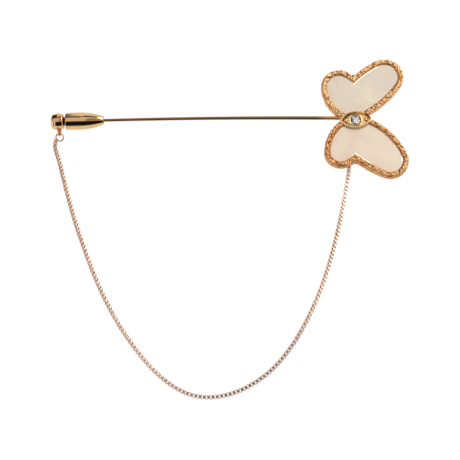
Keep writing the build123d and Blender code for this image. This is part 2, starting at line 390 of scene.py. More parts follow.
class Recipe:
    """A node material in the making, with short ways to add what the finishes share.

    Attributes:
        material: the material.
        tree: its node tree.
        place: the node that gives places in the piece's own space.
    """

    def __init__(self, name: str) -> None:
        """Starts an empty node material of that name."""
        self.material = bpy.data.materials.new(name)
        self.material.use_nodes = True
        self.tree = self.material.node_tree
        self.tree.nodes.clear()
        self.place = add_node(self.tree, "ShaderNodeTexCoord")

    def placed(self, kind: str, settings: dict[str, object]) -> bpy.types.Node:
        """A node that reads places in the piece's own space."""
        return add_node(self.tree, kind, settings, {"Vector": (self.place, "Object")})

    def noise(self, grain: float, **settings: float) -> Source:
        """Noise whose grain has a real size in metres, as a number."""
        return self.placed("ShaderNodeTexNoise", {"Scale": 1.0 / grain, **settings}), "Fac"

    def carried(self, name: str) -> Source:
        """A number that the mesh carries."""
        return add_node(self.tree, "ShaderNodeAttribute", {"attribute_name": name}), "Fac"

    def ramp(self, source: Source, stops: list[tuple[float, str]]) -> Source:
        """The colour for a number from 0 to 1.

        Args:
            source: the number.
            stops: places from 0 to 1, each with its hex colour.

        Returns:
            The colour's source.
        """
        node = add_node(self.tree, "ShaderNodeValToRGB", {}, {"Fac": source})
        elements = node.color_ramp.elements
        while len(elements) < len(stops):
            elements.new(0.5)
        for element, (place, colour) in zip(elements, stops):
            element.position = place
            element.color = linear(colour)
        return node, "Color"

    def mixed(self, blend: str, share: Source | float, under: Source, over: Source | str) -> Source:
        """One colour over another.

        Args:
            blend: how they mix.
            share: how much of the upper one shows, as a number or its source.
            under: the lower colour's source.
            over: the upper colour, as a source or a hex colour.

        Returns:
            The mixed colour.
        """
        settings: dict[str, object] = {"data_type": "RGBA", "blend_type": blend}
        links = {"6": under}
        (links if isinstance(share, tuple) else settings)["0"] = share
        if isinstance(over, str):
            settings["7"] = linear(over)
        else:
            links["7"] = over
        return add_node(self.tree, "ShaderNodeMix", settings, links), 2

    def ranged(self, source: Source, low: float, high: float) -> Source:
        """A number from 0 to 1, moved to between two others."""
        settings = {"To Min": low, "To Max": high}
        return add_node(self.tree, "ShaderNodeMapRange", settings, {"Value": source}), "Result"

    def bump(self, height: Source, strength: float, depth: float) -> Source:
        """The normals of a fine relief with a real depth in metres."""
        settings = {"Strength": strength, "Distance": depth}
        return add_node(self.tree, "ShaderNodeBump", settings, {"Height": height}), "Normal"

    def finished(self, settings: dict[str, object], links: dict[str, Source]) -> bpy.types.Material:
        """The material, once its shader has its settings and sources."""
        shader = add_node(self.tree, "ShaderNodeBsdfPrincipled", settings, links)
        add_node(self.tree, "ShaderNodeOutputMaterial", {}, {"Surface": (shader, 0)})
        return self.material

    def metal(self, colour: Source, roughness: Source, normal: Source) -> bpy.types.Material:
        """The material as bare metal."""
        links = {"Base Color": colour, "Roughness": roughness, "Normal": normal}
        return self.finished({"Metallic": 1.0}, links)


@dataclass(frozen=True)
class BarkGold:
    """Yellow gold cast with a bark texture. Its colour is painted light and shade by height: lighter on the
    crests, and a deeper orange in the pits, painted for the light that enters them only after a second
    bounce."""

    name: str = "cast_bark_gold"
    crest: str = "#ECC494"
    flank: str = "#CA925E"
    pit: str = "#9A6032"
    shade_tone_colour: str = "#E4CAAA"
    roughness: tuple[float, float] = (0.4, 0.56)
    grain: float = 0.16 * MM
    grain_share: float = 0.35
    grain_bump: float = 0.4
    grain_depth: float = 0.02 * MM

    def material(self) -> bpy.types.Material:
        """The node material. The colour follows the relief, as painted light and shade, and the painted shade
        and tone that the mesh carries.
        """
        recipe = Recipe(self.name)
        grain = recipe.noise(self.grain, Detail=3.0, Roughness=0.6)
        height = worked(recipe.tree, "MULTIPLY_ADD", grain, self.grain_share, recipe.carried("relief"))
        # painted light and shade: pits darker, crests lighter
        bark = recipe.ramp(height, [(0.25, self.pit), (0.55, self.flank), (0.95, self.crest)])
        # the mesh's painted shade and tone darken and warm the colour
        tone = recipe.ramp(recipe.carried("warmth"), [(0.0, WHITE), (1.0, self.shade_tone_colour)])
        return recipe.metal(
            recipe.mixed("MULTIPLY", 1.0, bark, tone),
            recipe.ranged(grain, *self.roughness),
            recipe.bump(grain, self.grain_bump, self.grain_depth),
        )


@dataclass(frozen=True)
class PolishedGold:
    """Mirror-polished yellow gold: it shows the bright room and its dark corners in clean bands, under the
    faint haze of fine polishing lines. Where the mesh carries painted shade, its colour is darkened towards a
    deep brown."""

    name: str
    colour: str = "#E4BC8A"
    shade: str = "#D8AA74"
    painted_shade_colour: str = "#4A1A0A"
    roughness: float = 0.07
    smoothest: float = 0.7
    roughest: float = 1.4
    swirl: float = 1.6 * MM
    line: float = 0.05 * MM
    line_bump: float = 0.15
    line_depth: float = 0.001 * MM

    def material(self) -> bpy.types.Material:
        """The node material. The colour darkens with the painted shade that the mesh carries."""
        recipe = Recipe(self.name)
        swirl = recipe.noise(self.swirl, Detail=2.0)
        clean = recipe.ramp(swirl, [(0.3, self.shade), (0.7, self.colour)])
        return recipe.metal(
            # painted shade: the colour mixes towards the dark painted shade colour where the mesh carries it
            recipe.mixed("MIX", recipe.carried("tarnish"), clean, self.painted_shade_colour),
            recipe.ranged(swirl, self.roughness * self.smoothest, self.roughness * self.roughest),
            recipe.bump(recipe.noise(self.line, Detail=1.0), self.line_bump, self.line_depth),
        )


@dataclass(frozen=True)
class Nacre:
    """Polished mother-of-pearl: a hard satin gloss over soft clouds of cream, grey and rose, whose thin
    layers give a slight play of colour, and a painted highlight along the edge: a paler colour there that
    also glows."""

    name: str
    light: str
    body: str
    tint: str
    # the colour of the edge's painted highlight, which also glows
    rim: str = "#FBF6EE"
    painted_edge_glow: float = 0.45
    cloud: float = 6.0 * MM
    layer: float = 1.1 * MM
    layer_share: float = 0.06
    layer_bump: float = 0.05
    layer_depth: float = 0.05 * MM
    film: float = 420.0

    def material(self) -> bpy.types.Material:
        """The node material. The mesh carries how strongly the painted highlight along the edge shows.

        A wave texture turns by 20 times its scale in a metre, so a wave here is 2 pi times layer long.
        """
        recipe = Recipe(self.name)
        cloud = recipe.noise(self.cloud, Detail=3.0, Distortion=0.6)
        clouds = recipe.ramp(cloud, [(0.3, self.tint), (0.5, self.body), (0.7, self.light)])
        layer = recipe.placed(
            "ShaderNodeTexWave",
            {"Scale": 1.0 / (20.0 * self.layer), "Distortion": 6.0, "Detail": 2.0, "Detail Scale": 0.4},
        )
        layered = recipe.mixed("SOFT_LIGHT", self.layer_share, clouds, (layer, "Color"))
        # painted highlight: towards the edge the colour turns paler and glows
        edge = recipe.carried("edge")
        return recipe.finished(
            {
                "Roughness": 0.28, "IOR": 1.6, "Coat Weight": 0.4, "Coat Roughness": 0.08,
                "Thin Film Thickness": self.film, "Thin Film IOR": 1.5,
                "Emission Color": linear(self.rim),
            },
            {
                "Base Color": recipe.mixed("MIX", edge, layered, self.rim),
                "Normal": recipe.bump((layer, "Fac"), self.layer_bump, self.layer_depth),
                "Emission Strength": worked(recipe.tree, "MULTIPLY", edge, self.painted_edge_glow),
            },
        )


@dataclass(frozen=True)
class CutStone:
    """A colourless brilliant: facets that flash white, with a faint rose cast, and painted dark reflections
    for the facets that go dark.
    """

    name: str = "cut_diamond"
    tint: str = "#FFF0EE"
    painted_dark_flash: str = "#B89C9E"
    flash: float = 0.5 * MM
    shift: tuple[float, float, float] = (9.2 * MM, 2.3 * MM, 0.0)
    ior: float = 2.42

    def material(self) -> bpy.types.Material:
        """The node material. Facet-shaped cells painted a darker colour stand for the dark flashes, as
        painted reflections.
        """
        recipe = Recipe(self.name)
        moved = recipe.placed("ShaderNodeMapping", {"Location": self.shift})
        facet = add_node(
            recipe.tree, "ShaderNodeTexVoronoi", {"voronoi_dimensions": "2D", "Scale": 1.0 / self.flash},
            {"Vector": (moved, "Vector")},
        )
        lot = add_node(recipe.tree, "ShaderNodeSeparateColor", {}, {"0": (facet, "Color")})
        # painted reflection: cells take the darker colour where facets would go dark
        colour = recipe.ramp((lot, 0), [(0.3, self.painted_dark_flash), (0.4, self.tint)])
        settings = {"Roughness": 0.0, "IOR": self.ior, "Transmission Weight": 1.0}
        return recipe.finished(settings, {"Base Color": colour})


# One arc of an outline as built: its points, their outward directions and its middle
Run = tuple[np.ndarray, np.ndarray, np.ndarray]


@dataclass(frozen=True)
class Arc:
    """One arc of a wing's outline: its radius as a share of the wing's reach, and its clockwise turn in
    degrees."""

    radius_share: float
    turn: float


@dataclass(frozen=True)
class WingOutline:
    """The edge of one shell: arcs round the near lobe to the notch and back round the far lobe, closed
    by two lines through the middle of the setting. It is worked out above the X axis."""

    x_share: float
    y_share: float
    heading: float
    notch_turn: float
    before_notch: tuple[Arc, ...]
    after_notch: tuple[Arc, ...]
    reach: float = 14.0 * MM
    step: float = 0.06 * MM
    least_step_share: float = 0.05

    def arc(self, start: np.ndarray, heading: float, arc: Arc) -> Run:
        """One clockwise arc.

        The middle lies a radius to the right of the start, and each point is the middle plus the radius
        times the outward direction, which turns clockwise from the left of the heading.

        Args:
            start: where it begins.
            heading: its direction there, in degrees.
            arc: its radius and turn.

        Returns:
            The points, their outward directions and the arc's middle.
        """
        radius = arc.radius_share * self.reach
        count = max(6, int(radius * math.radians(arc.turn) / self.step))
        left = np.radians(heading + 90.0 - np.linspace(0.0, arc.turn, count))
        outward = ways(left)
        middle = start - radius * outward[0]
        return middle + radius * outward, outward, middle

    def points(self, gap: float, width: float, notch_round: float) -> tuple[np.ndarray, np.ndarray]:
        """Matching points on the inner and outer edges of the band round the shell.

        Away from the notch, a pair lies on the outline's normal. In the notch the pairs lie on rays
        from the middle of the outer edge's rounding, so that they never cross.

        Args:
            gap: from the outline to the inner edge.
            width: from the outline to the outer edge.
            notch_round: radius of the outer edge in the notch.

        Returns:
            The inner and the outer points, U x 2 arrays that run clockwise.
        """
        point = np.array([self.x_share, self.y_share]) * self.reach
        first, heading = point, self.heading
        runs: list[Run] = []
        for arc in self.before_notch:
            runs.append(self.arc(point, heading, arc))
            point, heading = runs[-1][0][-1], heading - arc.turn
        notch_run = len(runs) - 1
        heading += self.notch_turn
        for arc in self.after_notch:
            runs.append(self.arc(point, heading, arc))
            point, heading = runs[-1][0][-1], heading - arc.turn
        notch = runs[notch_run][0][-1]
        rounding = self.rounding_middle(runs[notch_run], runs[notch_run + 1], notch, width + notch_round)
        inner, outer = [], []
        for number, (edge, outward, middle) in enumerate(runs):
            far = edge + width * outward
            near = edge + gap * outward
            if number in (notch_run, notch_run + 1):
                to_rounding, to_edge = rounding - middle, edge - middle
                cross = to_rounding[0] * to_edge[:, 1] - to_rounding[1] * to_edge[:, 0]
                in_notch = (cross < 0) if number == notch_run else (cross > 0)
                ray = unit(edge - rounding)
                far = np.where(in_notch[:, None], rounding + notch_round * ray, far)
                near = np.where(in_notch[:, None], edge - gap * ray, near)
            inner.append(near)
            outer.append(far)
        closing_inner, closing_outer = self.closing(point, first, runs[-1][1][-1], runs[0][1][0], gap, width)
        inner = np.concatenate([*inner, closing_inner])
        outer = np.concatenate([*outer, closing_outer])
        keep = np.linalg.norm(outer - np.roll(outer, 1, axis=0), axis=1) > self.step * self.least_step_share
        return inner[keep], outer[keep]

    @staticmethod
    def rounding_middle(one: Run, other: Run, notch: np.ndarray, offset: float) -> np.ndarray:
        """The point that lies an offset outside both arcs that meet in the notch.

        It is where two circles cross: about each arc's middle, with its radius plus the offset.

        Args:
            one: the arc before the notch.
            other: the arc after it.
            notch: their shared point.
            offset: how far outside.

        Returns:
            The crossing nearer to the notch.
        """
        a, b = one[2], other[2]
        reach_a = np.linalg.norm(notch - a) + offset
        reach_b = np.linalg.norm(notch - b) + offset
        apart = np.linalg.norm(b - a)
        along = (reach_a**2 - reach_b**2 + apart**2) / (2.0 * apart)
        rise = math.sqrt(max(reach_a**2 - along**2, 0.0))
        way = (b - a) / apart
        foot = a + along * way
        sides = [foot + sign * rise * np.array([-way[1], way[0]]) for sign in (1.0, -1.0)]
        return min(sides, key=lambda side: float(np.linalg.norm(side - notch)))

    def closing(
        self,
        last: np.ndarray,
        first: np.ndarray,
        last_outward: np.ndarray,
        first_outward: np.ndarray,
        gap: float,
        width: float,
    ) -> tuple[np.ndarray, np.ndarray]:
        """The two lines through the middle of the setting, with the directions eased into each other.

        Args:
            last: end of the last arc.
            first: start of the first arc.
            last_outward: outward direction at the end.
            first_outward: outward direction at the start.
            gap: from the outline to the inner edge.
            width: from the outline to the outer edge.

        Returns:
            Inner and outer points along both lines.
        """
        corners = np.array([last, [0.0, 0.0], first])
        dense = evenly(corners, self.step)
        line = dense[1:-1]
        share = np.linalg.norm(np.diff(dense, axis=0), axis=1).cumsum()[:-1]
        share = share / np.linalg.norm(np.diff(corners, axis=0), axis=1).sum()
        start = math.atan2(last_outward[1], last_outward[0])
        end = math.atan2(first_outward[1], first_outward[0])
        swept = (start - end) % (2.0 * math.pi)
        outward = ways(start - swept * share)
        return line + gap * outward, line + width * outward


OUTLINES = {
    Wing.UPPER: WingOutline(
        x_share=-0.221, y_share=0.157, heading=141.0, notch_turn=100.0,
        before_notch=(Arc(0.543, 49.0), Arc(0.193, 119.0), Arc(0.400, 26.0)),
        after_notch=(Arc(1.571, 18.0), Arc(0.204, 154.0), Arc(1.643, 24.0)),
    ),
    Wing.LOWER: WingOutline(
        x_share=-0.200, y_share=0.104, heading=140.0, notch_turn=89.5,
        before_notch=(Arc(0.564, 48.5), Arc(0.157, 112.5), Arc(0.400, 29.0)),
        after_notch=(Arc(2.071, 14.5), Arc(0.196, 136.0), Arc(0.957, 45.0)),
    ),
}


@dataclass(frozen=True)
class Navette:
    """The pointed oval of the setting: where two circles overlap, turned a little."""

    length: float = 6.9 * MM
    width: float = 3.95 * MM
    turn: float = 2.5
    crowding: float = 0.38

    def circles(self, grow: float) -> tuple[np.ndarray, np.ndarray, float]:
        """The two circles that overlap in the oval.

        Half the oval is a segment of a circle, so the radius is (l^2 + w^2) / (2 w) for half its length
        l and half its width w.

        Args:
            grow: how far the oval is grown.

        Returns:
            The middles of the circles below and above, and their grown radius.
        """
        half_length, half_width = self.length / 2.0, self.width / 2.0
        radius = (half_length**2 + half_width**2) / (2.0 * half_width)
        lean = math.radians(self.turn)
        middle = (radius - half_width) * np.array([-math.sin(lean), math.cos(lean)])
        return -middle, middle, radius + grow

    def holds(self, points: np.ndarray, grow: float) -> np.ndarray:
        """Which points lie inside the oval grown by a distance."""
        below, above, radius = self.circles(grow)
        inside = [np.linalg.norm(points - middle, axis=-1) < radius for middle in (below, above)]
        return inside[0] & inside[1]

    def outline(self, grow: float, around: int) -> np.ndarray:
        """The oval grown by a distance, one point for each direction from its middle.

        In a direction, the edge lies at the nearer of the two circles' far crossings. The directions
        crowd towards the two points: an angle t becomes t less the crowding times sin(2 t).

        Args:
            grow: how far it is grown, or shrunk if negative.
            around: number of directions.

        Returns:
            around x 2 array, anticlockwise.
        """
        below, above, radius = self.circles(grow)
        turn = turns(around)
        way = ways(turn - self.crowding * np.sin(2.0 * turn) + math.radians(self.turn))
        reach = [
            way @ middle + np.sqrt((way @ middle) ** 2 - middle @ middle + radius**2)
            for middle in (below, above)
        ]
        return way * np.minimum(*reach)[:, None]


@dataclass
class Piece:
    """A finished piece and what the frame has to know about it."""

    name: str
    skin: Skin
    materials: list[bpy.types.Material]
    body: Body
    nodes: tuple[str, ...]
    slot: str
    crease: float = 35.0

    def place(self) -> bpy.types.Object:
        """Makes the object, dresses it, ties it to its body and hides the nodes that it replaces.

        Returns:
            The object, at the origin, with its place in its mesh.
        """
        mesh = mesh_from(self.name, self.skin)
        mesh.set_sharp_from_angle(angle=math.radians(self.crease))
        piece = add_object(self.name, mesh)
        for material in self.materials:
            mesh.materials.append(material)
        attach(piece, self.body.value)
        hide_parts(*self.nodes)
        log.info("%s: %d faces", self.name, len(mesh.polygons))
        return piece


@dataclass
class WingFrames:
    """The two gold trays: a bark-textured band round each shell, over a closed plain back."""

    back: float = 0.95 * MM
    floor: float = 1.35 * MM
    crest: float = 2.85 * MM
    width: float = 1.2 * MM
    gap: float = 0.05 * MM
    crown: float = 0.42 * MM
    undercut: float = 0.35 * MM
    notch_round: float = 1.1 * MM
    shell_top: float = 2.45 * MM
    wall_below_top: float = 0.15 * MM
    under_setting: float = 0.12 * MM
    sunk: float = 0.1 * MM
    row_step: float = 0.055 * MM
    flat_shares: tuple[float, ...] = (0.12, 0.35, 0.65, 0.9)
    bark_length: float = 0.66 * MM
    bark_width: float = 0.62 * MM
    bark_depth: float = 0.17 * MM
    bark_rows: int = 16
    pebble: float = 0.33 * MM
    pebble_depth: float = 0.035 * MM
    pebble_rows: int = 24
    pebble_share: float = 0.4
    first_row: float = 3.0
    skew: float = 0.55
    bark_above_shell: tuple[float, float] = (-0.05 * MM, 0.12 * MM)
    bark_above_back: tuple[float, float] = (0.1 * MM, 0.55 * MM)
    plain_relief: float = 0.6
    warm_upper: float = 0.1
    warm_lower: float = 0.5
    inner_wall_shade: float = 0.55
    inner_shade_fade: tuple[float, float] = (0.2, 0.8)
    warm_reach: float = 4.0 * MM
    warm_swing: float = 0.3
    navette: Navette = field(default_factory=Navette)

    def profile(self) -> tuple[np.ndarray, np.ndarray]:
        """The band's section, from the tray's floor over the crest to the back.

        Returns:
            R x 2 array of share of the width and height, and R x 2 array of outward directions.
        """
        crown, high = self.crown, self.crest - self.crown
        visible = np.concatenate([
            [[0.0, self.shell_top - self.wall_below_top]],
            arc_points((crown, high), crown, 180.0, 90.0, 10),
            arc_points((self.width - crown, high), crown, 90.0, 0.0, 10),
            [[self.width, self.back + self.undercut]],
        ])
        points = np.concatenate([
            [[0.0, self.floor]], evenly(visible, self.row_step), [[self.width - self.undercut, self.back]]
        ])
        along = np.gradient(points, axis=0)
        outward = unit(np.stack([-along[:, 1], along[:, 0]], axis=1))
        return points * np.array([1.0 / self.width, 1.0]), outward

    def relief(
        self, along: np.ndarray, across: np.ndarray, length: float, seed: int
    ) -> tuple[np.ndarray, np.ndarray]:
        """The bark's two skins of tilted domes: a coarse one drawn out along the band and a fine one.

        Args:
            along: distances along the band.
            across: distances over it, from the inner wall to the back.
            length: the band's whole length.
            seed: what the random numbers start from.

        Returns:
            Heights of the coarse and of the fine skin, from about -1 in the pits to 1 on the crests.
        """
        shift = across * self.skew

        def domes(places: np.ndarray, size: tuple[float, float], rows: int, seed: int) -> np.ndarray:
            """Domes of about one size along and across the band."""
            count = int(round(length / size[0]))
            return cells(places / length * count, across / size[1] + self.first_row, (count, rows), seed)

        coarse = domes(along + shift, (self.bark_length, self.bark_width), self.bark_rows, seed)
        fine = domes(along - shift, (self.pebble, self.pebble), self.pebble_rows, seed + 1)
        return coarse, fine

    def skin(self, wing: Wing, seed: int) -> Skin:
        """One tray.

        The section is carried round the outline: a row's point is the inner point plus its share of the
        way to the outer one, pushed out by the bark. The rows end in level rings that shrink to a pole
        on the floor and on the back.

        Args:
            wing: which one.
            seed: for its bark.

        Returns:
            The closed skin with its relief, and with its painted shade and tone: painted shade greatest on
            the inner wall, and a warmer tone on the lower wing.
        """
        inner, outer = OUTLINES[wing].points(self.gap, self.width, self.notch_round)
        section, outward = self.profile()
        middle = (inner + outer) / 2.0
        steps = np.linalg.norm(middle - np.roll(middle, 1, axis=0), axis=1)
        climbs = np.linalg.norm(np.diff(section * np.array([self.width, 1.0]), axis=0), axis=1)
        across = np.concatenate([[0.0], np.cumsum(climbs)])
        shape = (len(section), len(steps))
        coarse, fine = self.relief(
            np.broadcast_to(np.cumsum(steps), shape), np.broadcast_to(across[:, None], shape),
            float(steps.sum()), seed,
        )
        height = section[:, 1:]
        start, end = (self.shell_top + above for above in self.bark_above_shell)
        foot, full = (self.back + above for above in self.bark_above_back)
        outside = section[:, :1] > 0.5
        mask = np.where(outside, smooth_step(foot, full, height), smooth_step(start, end, height))
        push = mask * (self.bark_depth * coarse + self.pebble_depth * fine)
        span = outer - inner
        plan = inner + section[:, :1, None] * span + (push * outward[:, :1])[..., None] * unit(span)
        level = height + push * outward[:, 1:]
        mirror = np.array([1.0, wing.side])
        hidden = self.navette.holds(plan * mirror, -self.under_setting)
        level = np.where(hidden, np.minimum(level, self.floor - self.sunk), level)
        rings = np.concatenate([plan, level[..., None]], axis=-1)
        heart = inner.mean(axis=0)
        shares = np.array(self.flat_shares)

        def flat(edge: np.ndarray, shares: np.ndarray, level: float) -> np.ndarray:
            """Level rings at shares of the way from the heart to an edge."""
            plan = heart + shares[:, None, None] * (edge - heart)
            return np.concatenate([plan, np.full((*plan.shape[:2], 1), level)], axis=-1)

        stack = np.concatenate([
            flat(inner, shares, self.floor), rings, flat(rings[-1, :, :2], shares[::-1], self.back)
        ])
        finish = np.ones(len(stack), int)
        finish[len(shares) + 1 : len(shares) + len(section) - 2] = 0
        pole = heart * mirror
        skin = ring_stack(
            stack * np.array([1.0, wing.side, 1.0]), (*pole, self.floor), (*pole, self.back),
            row_finish=finish,
        )
        relief = mask * (0.5 + 0.5 * (coarse + self.pebble_share * fine)) + (1.0 - mask) * self.plain_relief
        # painted shade on the inner wall beside the shell, and a warmer tone that differs between the wings
        far = np.clip(wing.side * (inner[:, 0] - heart[0]) / self.warm_reach, -1.0, 1.0)
        inside = self.inner_wall_shade * (1.0 - smooth_step(*self.inner_shade_fade, section[:, :1]))
        base = self.warm_upper if wing is Wing.UPPER else self.warm_lower
        warmth = np.clip(inside * (1.0 - self.warm_swing + self.warm_swing * far) + base, 0.0, 1.0)
        plain = np.full((len(shares), len(steps)), self.plain_relief)
        for name, band in (("relief", relief), ("warmth", warmth)):
            rows = np.concatenate([plain, band, plain])
            skin.values[name] = ring_values(rows, self.plain_relief, self.plain_relief)
        return skin

    def build(self, bark: bpy.types.Material, plain: bpy.types.Material) -> None:
        """Places both trays.

        Args:
            bark: the band's metal.
            plain: the metal of floor and back.
        """
        for wing, seed in ((Wing.UPPER, 11), (Wing.LOWER, 23)):
            Piece(
                f"wing_frame_{wing.value}", self.skin(wing, seed), [bark, plain],
                Body.PIN, ("pin_mount",), "gold_mount", crease=70.0,
            ).place()


@dataclass
class ShellPlates:
    """The two mother-of-pearl plates, bevelled all round and cut away round the setting."""

    bottom: float = 1.4 * MM
    top: float = 2.45 * MM
    bevel: float = 0.08 * MM
    bright_bevel: float = 0.3 * MM
    bright_drop: float = 0.1 * MM
    heart_shift: float = 1.3 * MM
    bright_upper: tuple[tuple[float, float], ...] = ((-0.5 * MM, 7.5 * MM),)
    bright_lower: tuple[tuple[float, float], ...] = ((-0.7 * MM, 4.6 * MM), (12.6 * MM, 14.2 * MM))
    before_notch: float = 1.0 * MM
    gap: float = 0.05 * MM
    fit: float = 0.035 * MM
    swell: float = 0.05 * MM
    bright_rise: float = 0.2 * MM
    bright_fall: float = 1.0 * MM
    least_edge: float = 0.15
    bottom_share: float = 0.5
    shoulder_inset: float = 0.25
    shoulder_drop: float = 0.6
    frame_width: float = 1.0 * MM
    shares: tuple[float, ...] = (1.0, 0.985, 0.95, 0.9, 0.8, 0.7, 0.6, 0.5, 0.4, 0.3, 0.2, 0.1)
    navette: Navette = field(default_factory=Navette)

    def edge(self, wing: Wing) -> tuple[np.ndarray, np.ndarray]:
        """The plate's edge and its heart.

        Where the outline runs under the setting, a point is drawn back towards the heart, to where that
        line meets the far circle of the setting's grown oval.

        Args:
            wing: which one.

        Returns:
            U x 2 array of points above the X axis, and the heart.
        """
        points = OUTLINES[wing].points(self.fit, self.frame_width, self.frame_width)[0]
        heart = points.mean(axis=0) - np.array([self.heart_shift, 0.0])
        mirror = np.array([1.0, wing.side])
        below, above, radius = self.navette.circles(self.gap)
        middle = (below if wing is Wing.UPPER else above) * mirror
        inside = self.navette.holds(points * mirror, self.gap)
        ray = points - heart
        from_middle = heart - middle
        a = (ray**2).sum(axis=1)
        b = ray @ from_middle
        c = from_middle @ from_middle - radius**2
        share = (-b - np.sqrt(np.maximum(b**2 - a * c, 0.0))) / a
        return np.where(inside[:, None], heart + share[:, None] * ray, points), heart

    def wide_highlighted_bevel(self, edge: np.ndarray, outward: np.ndarray, wing: Wing) -> np.ndarray:
        """How far each point of the edge lies in a stretch whose bevel is wide and carries a painted
        highlight.

        The stretches are given as distances past the notch, which is where the edge turns most sharply
        inward.

        Args:
            edge: U x 2 points of the edge.
            outward: U x 2 directions out of it.
            wing: which one.

        Returns:
            U numbers from 0 to 1.
        """
        steps = np.linalg.norm(np.roll(edge, -1, axis=0) - edge, axis=1)
        travel = np.cumsum(steps) - steps
        after = np.roll(outward, -1, axis=0)
        notch = int(np.argmax(outward[:, 0] * after[:, 1] - outward[:, 1] * after[:, 0]))
        past = np.mod(travel - travel[notch] + self.before_notch, steps.sum()) - self.before_notch
        bright = np.zeros(len(edge))
        for start, end in self.bright_upper if wing is Wing.UPPER else self.bright_lower:
            rise = smooth_step(start - self.bright_rise, start + self.bright_rise, past)
            fall = 1.0 - smooth_step(end - self.bright_fall, end, past)
            bright = np.maximum(bright, rise * fall)
        return bright

    def skin(self, wing: Wing) -> Skin:
        """One plate: a wall, a bevel, and rings over its gently swelling top to a pole.

        The height over the top is the edge's plus the swell times one less the fourth power of the
        share of the way out from the heart.

        Args:
            wing: which one.

        Returns:
            The closed skin, with the strength of the painted highlight along its edge.
        """
        edge, heart = self.edge(wing)
        tangent = np.roll(edge, -1, axis=0) - np.roll(edge, 1, axis=0)
        outward = unit(np.stack([-tangent[:, 1], tangent[:, 0]], axis=1))
        bright = self.wide_highlighted_bevel(edge, outward, wing)
        bevel = self.bevel + (self.bright_bevel - self.bevel) * bright
        drop = self.bevel + (self.bright_drop - self.bevel) * bright
        inset = edge - bevel[:, None] * outward
        shares = np.array(self.shares)
        top = heart + shares[:, None, None] * (inset - heart)
        rise = self.top + self.swell * (1.0 - shares**4)
        shoulder = edge - self.shoulder_inset * bevel[:, None] * outward
        bottom = heart + self.bottom_share * (edge - heart)
        plan = np.concatenate([np.stack([bottom, edge, edge, shoulder]), top])
        foot = np.full(len(edge), self.bottom)
        level = np.concatenate([
            np.stack([foot, foot, self.top - drop, self.top - self.shoulder_drop * drop]),
            np.broadcast_to(rise[:, None], (len(rise), len(edge))),
        ])
        rings = np.concatenate([plan, level[..., None]], axis=-1) * np.array([1.0, wing.side, 1.0])
        middle = heart * np.array([1.0, wing.side])
        skin = ring_stack(rings, (*middle, self.bottom), (*middle, self.top + self.swell))
        # painted highlight: the edge rows carry a paler, glowing colour, strongest in the wide bevel
        # stretches
        nearness = np.concatenate([[0.0, 1.0, 1.0, 1.0, 1.0], np.zeros(len(shares) - 1)])
        spread = nearness[:, None] * (self.least_edge + (1.0 - self.least_edge) * bright)
        skin.values["edge"] = ring_values(spread, 0.0, 0.0)
        return skin

    def build(self, upper: bpy.types.Material, lower: bpy.types.Material) -> None:
        """Places both plates.

        Args:
            upper: the upper plate's shell.
            lower: the lower plate's shell.
        """
        for wing, material in ((Wing.UPPER, upper), (Wing.LOWER, lower)):
            Piece(
                f"shell_plate_{wing.value}", self.skin(wing), [material],
                Body.PIN, (f"{wing.value}_wing_shell",), f"{wing.value}_shell", crease=20.0,
            ).place()


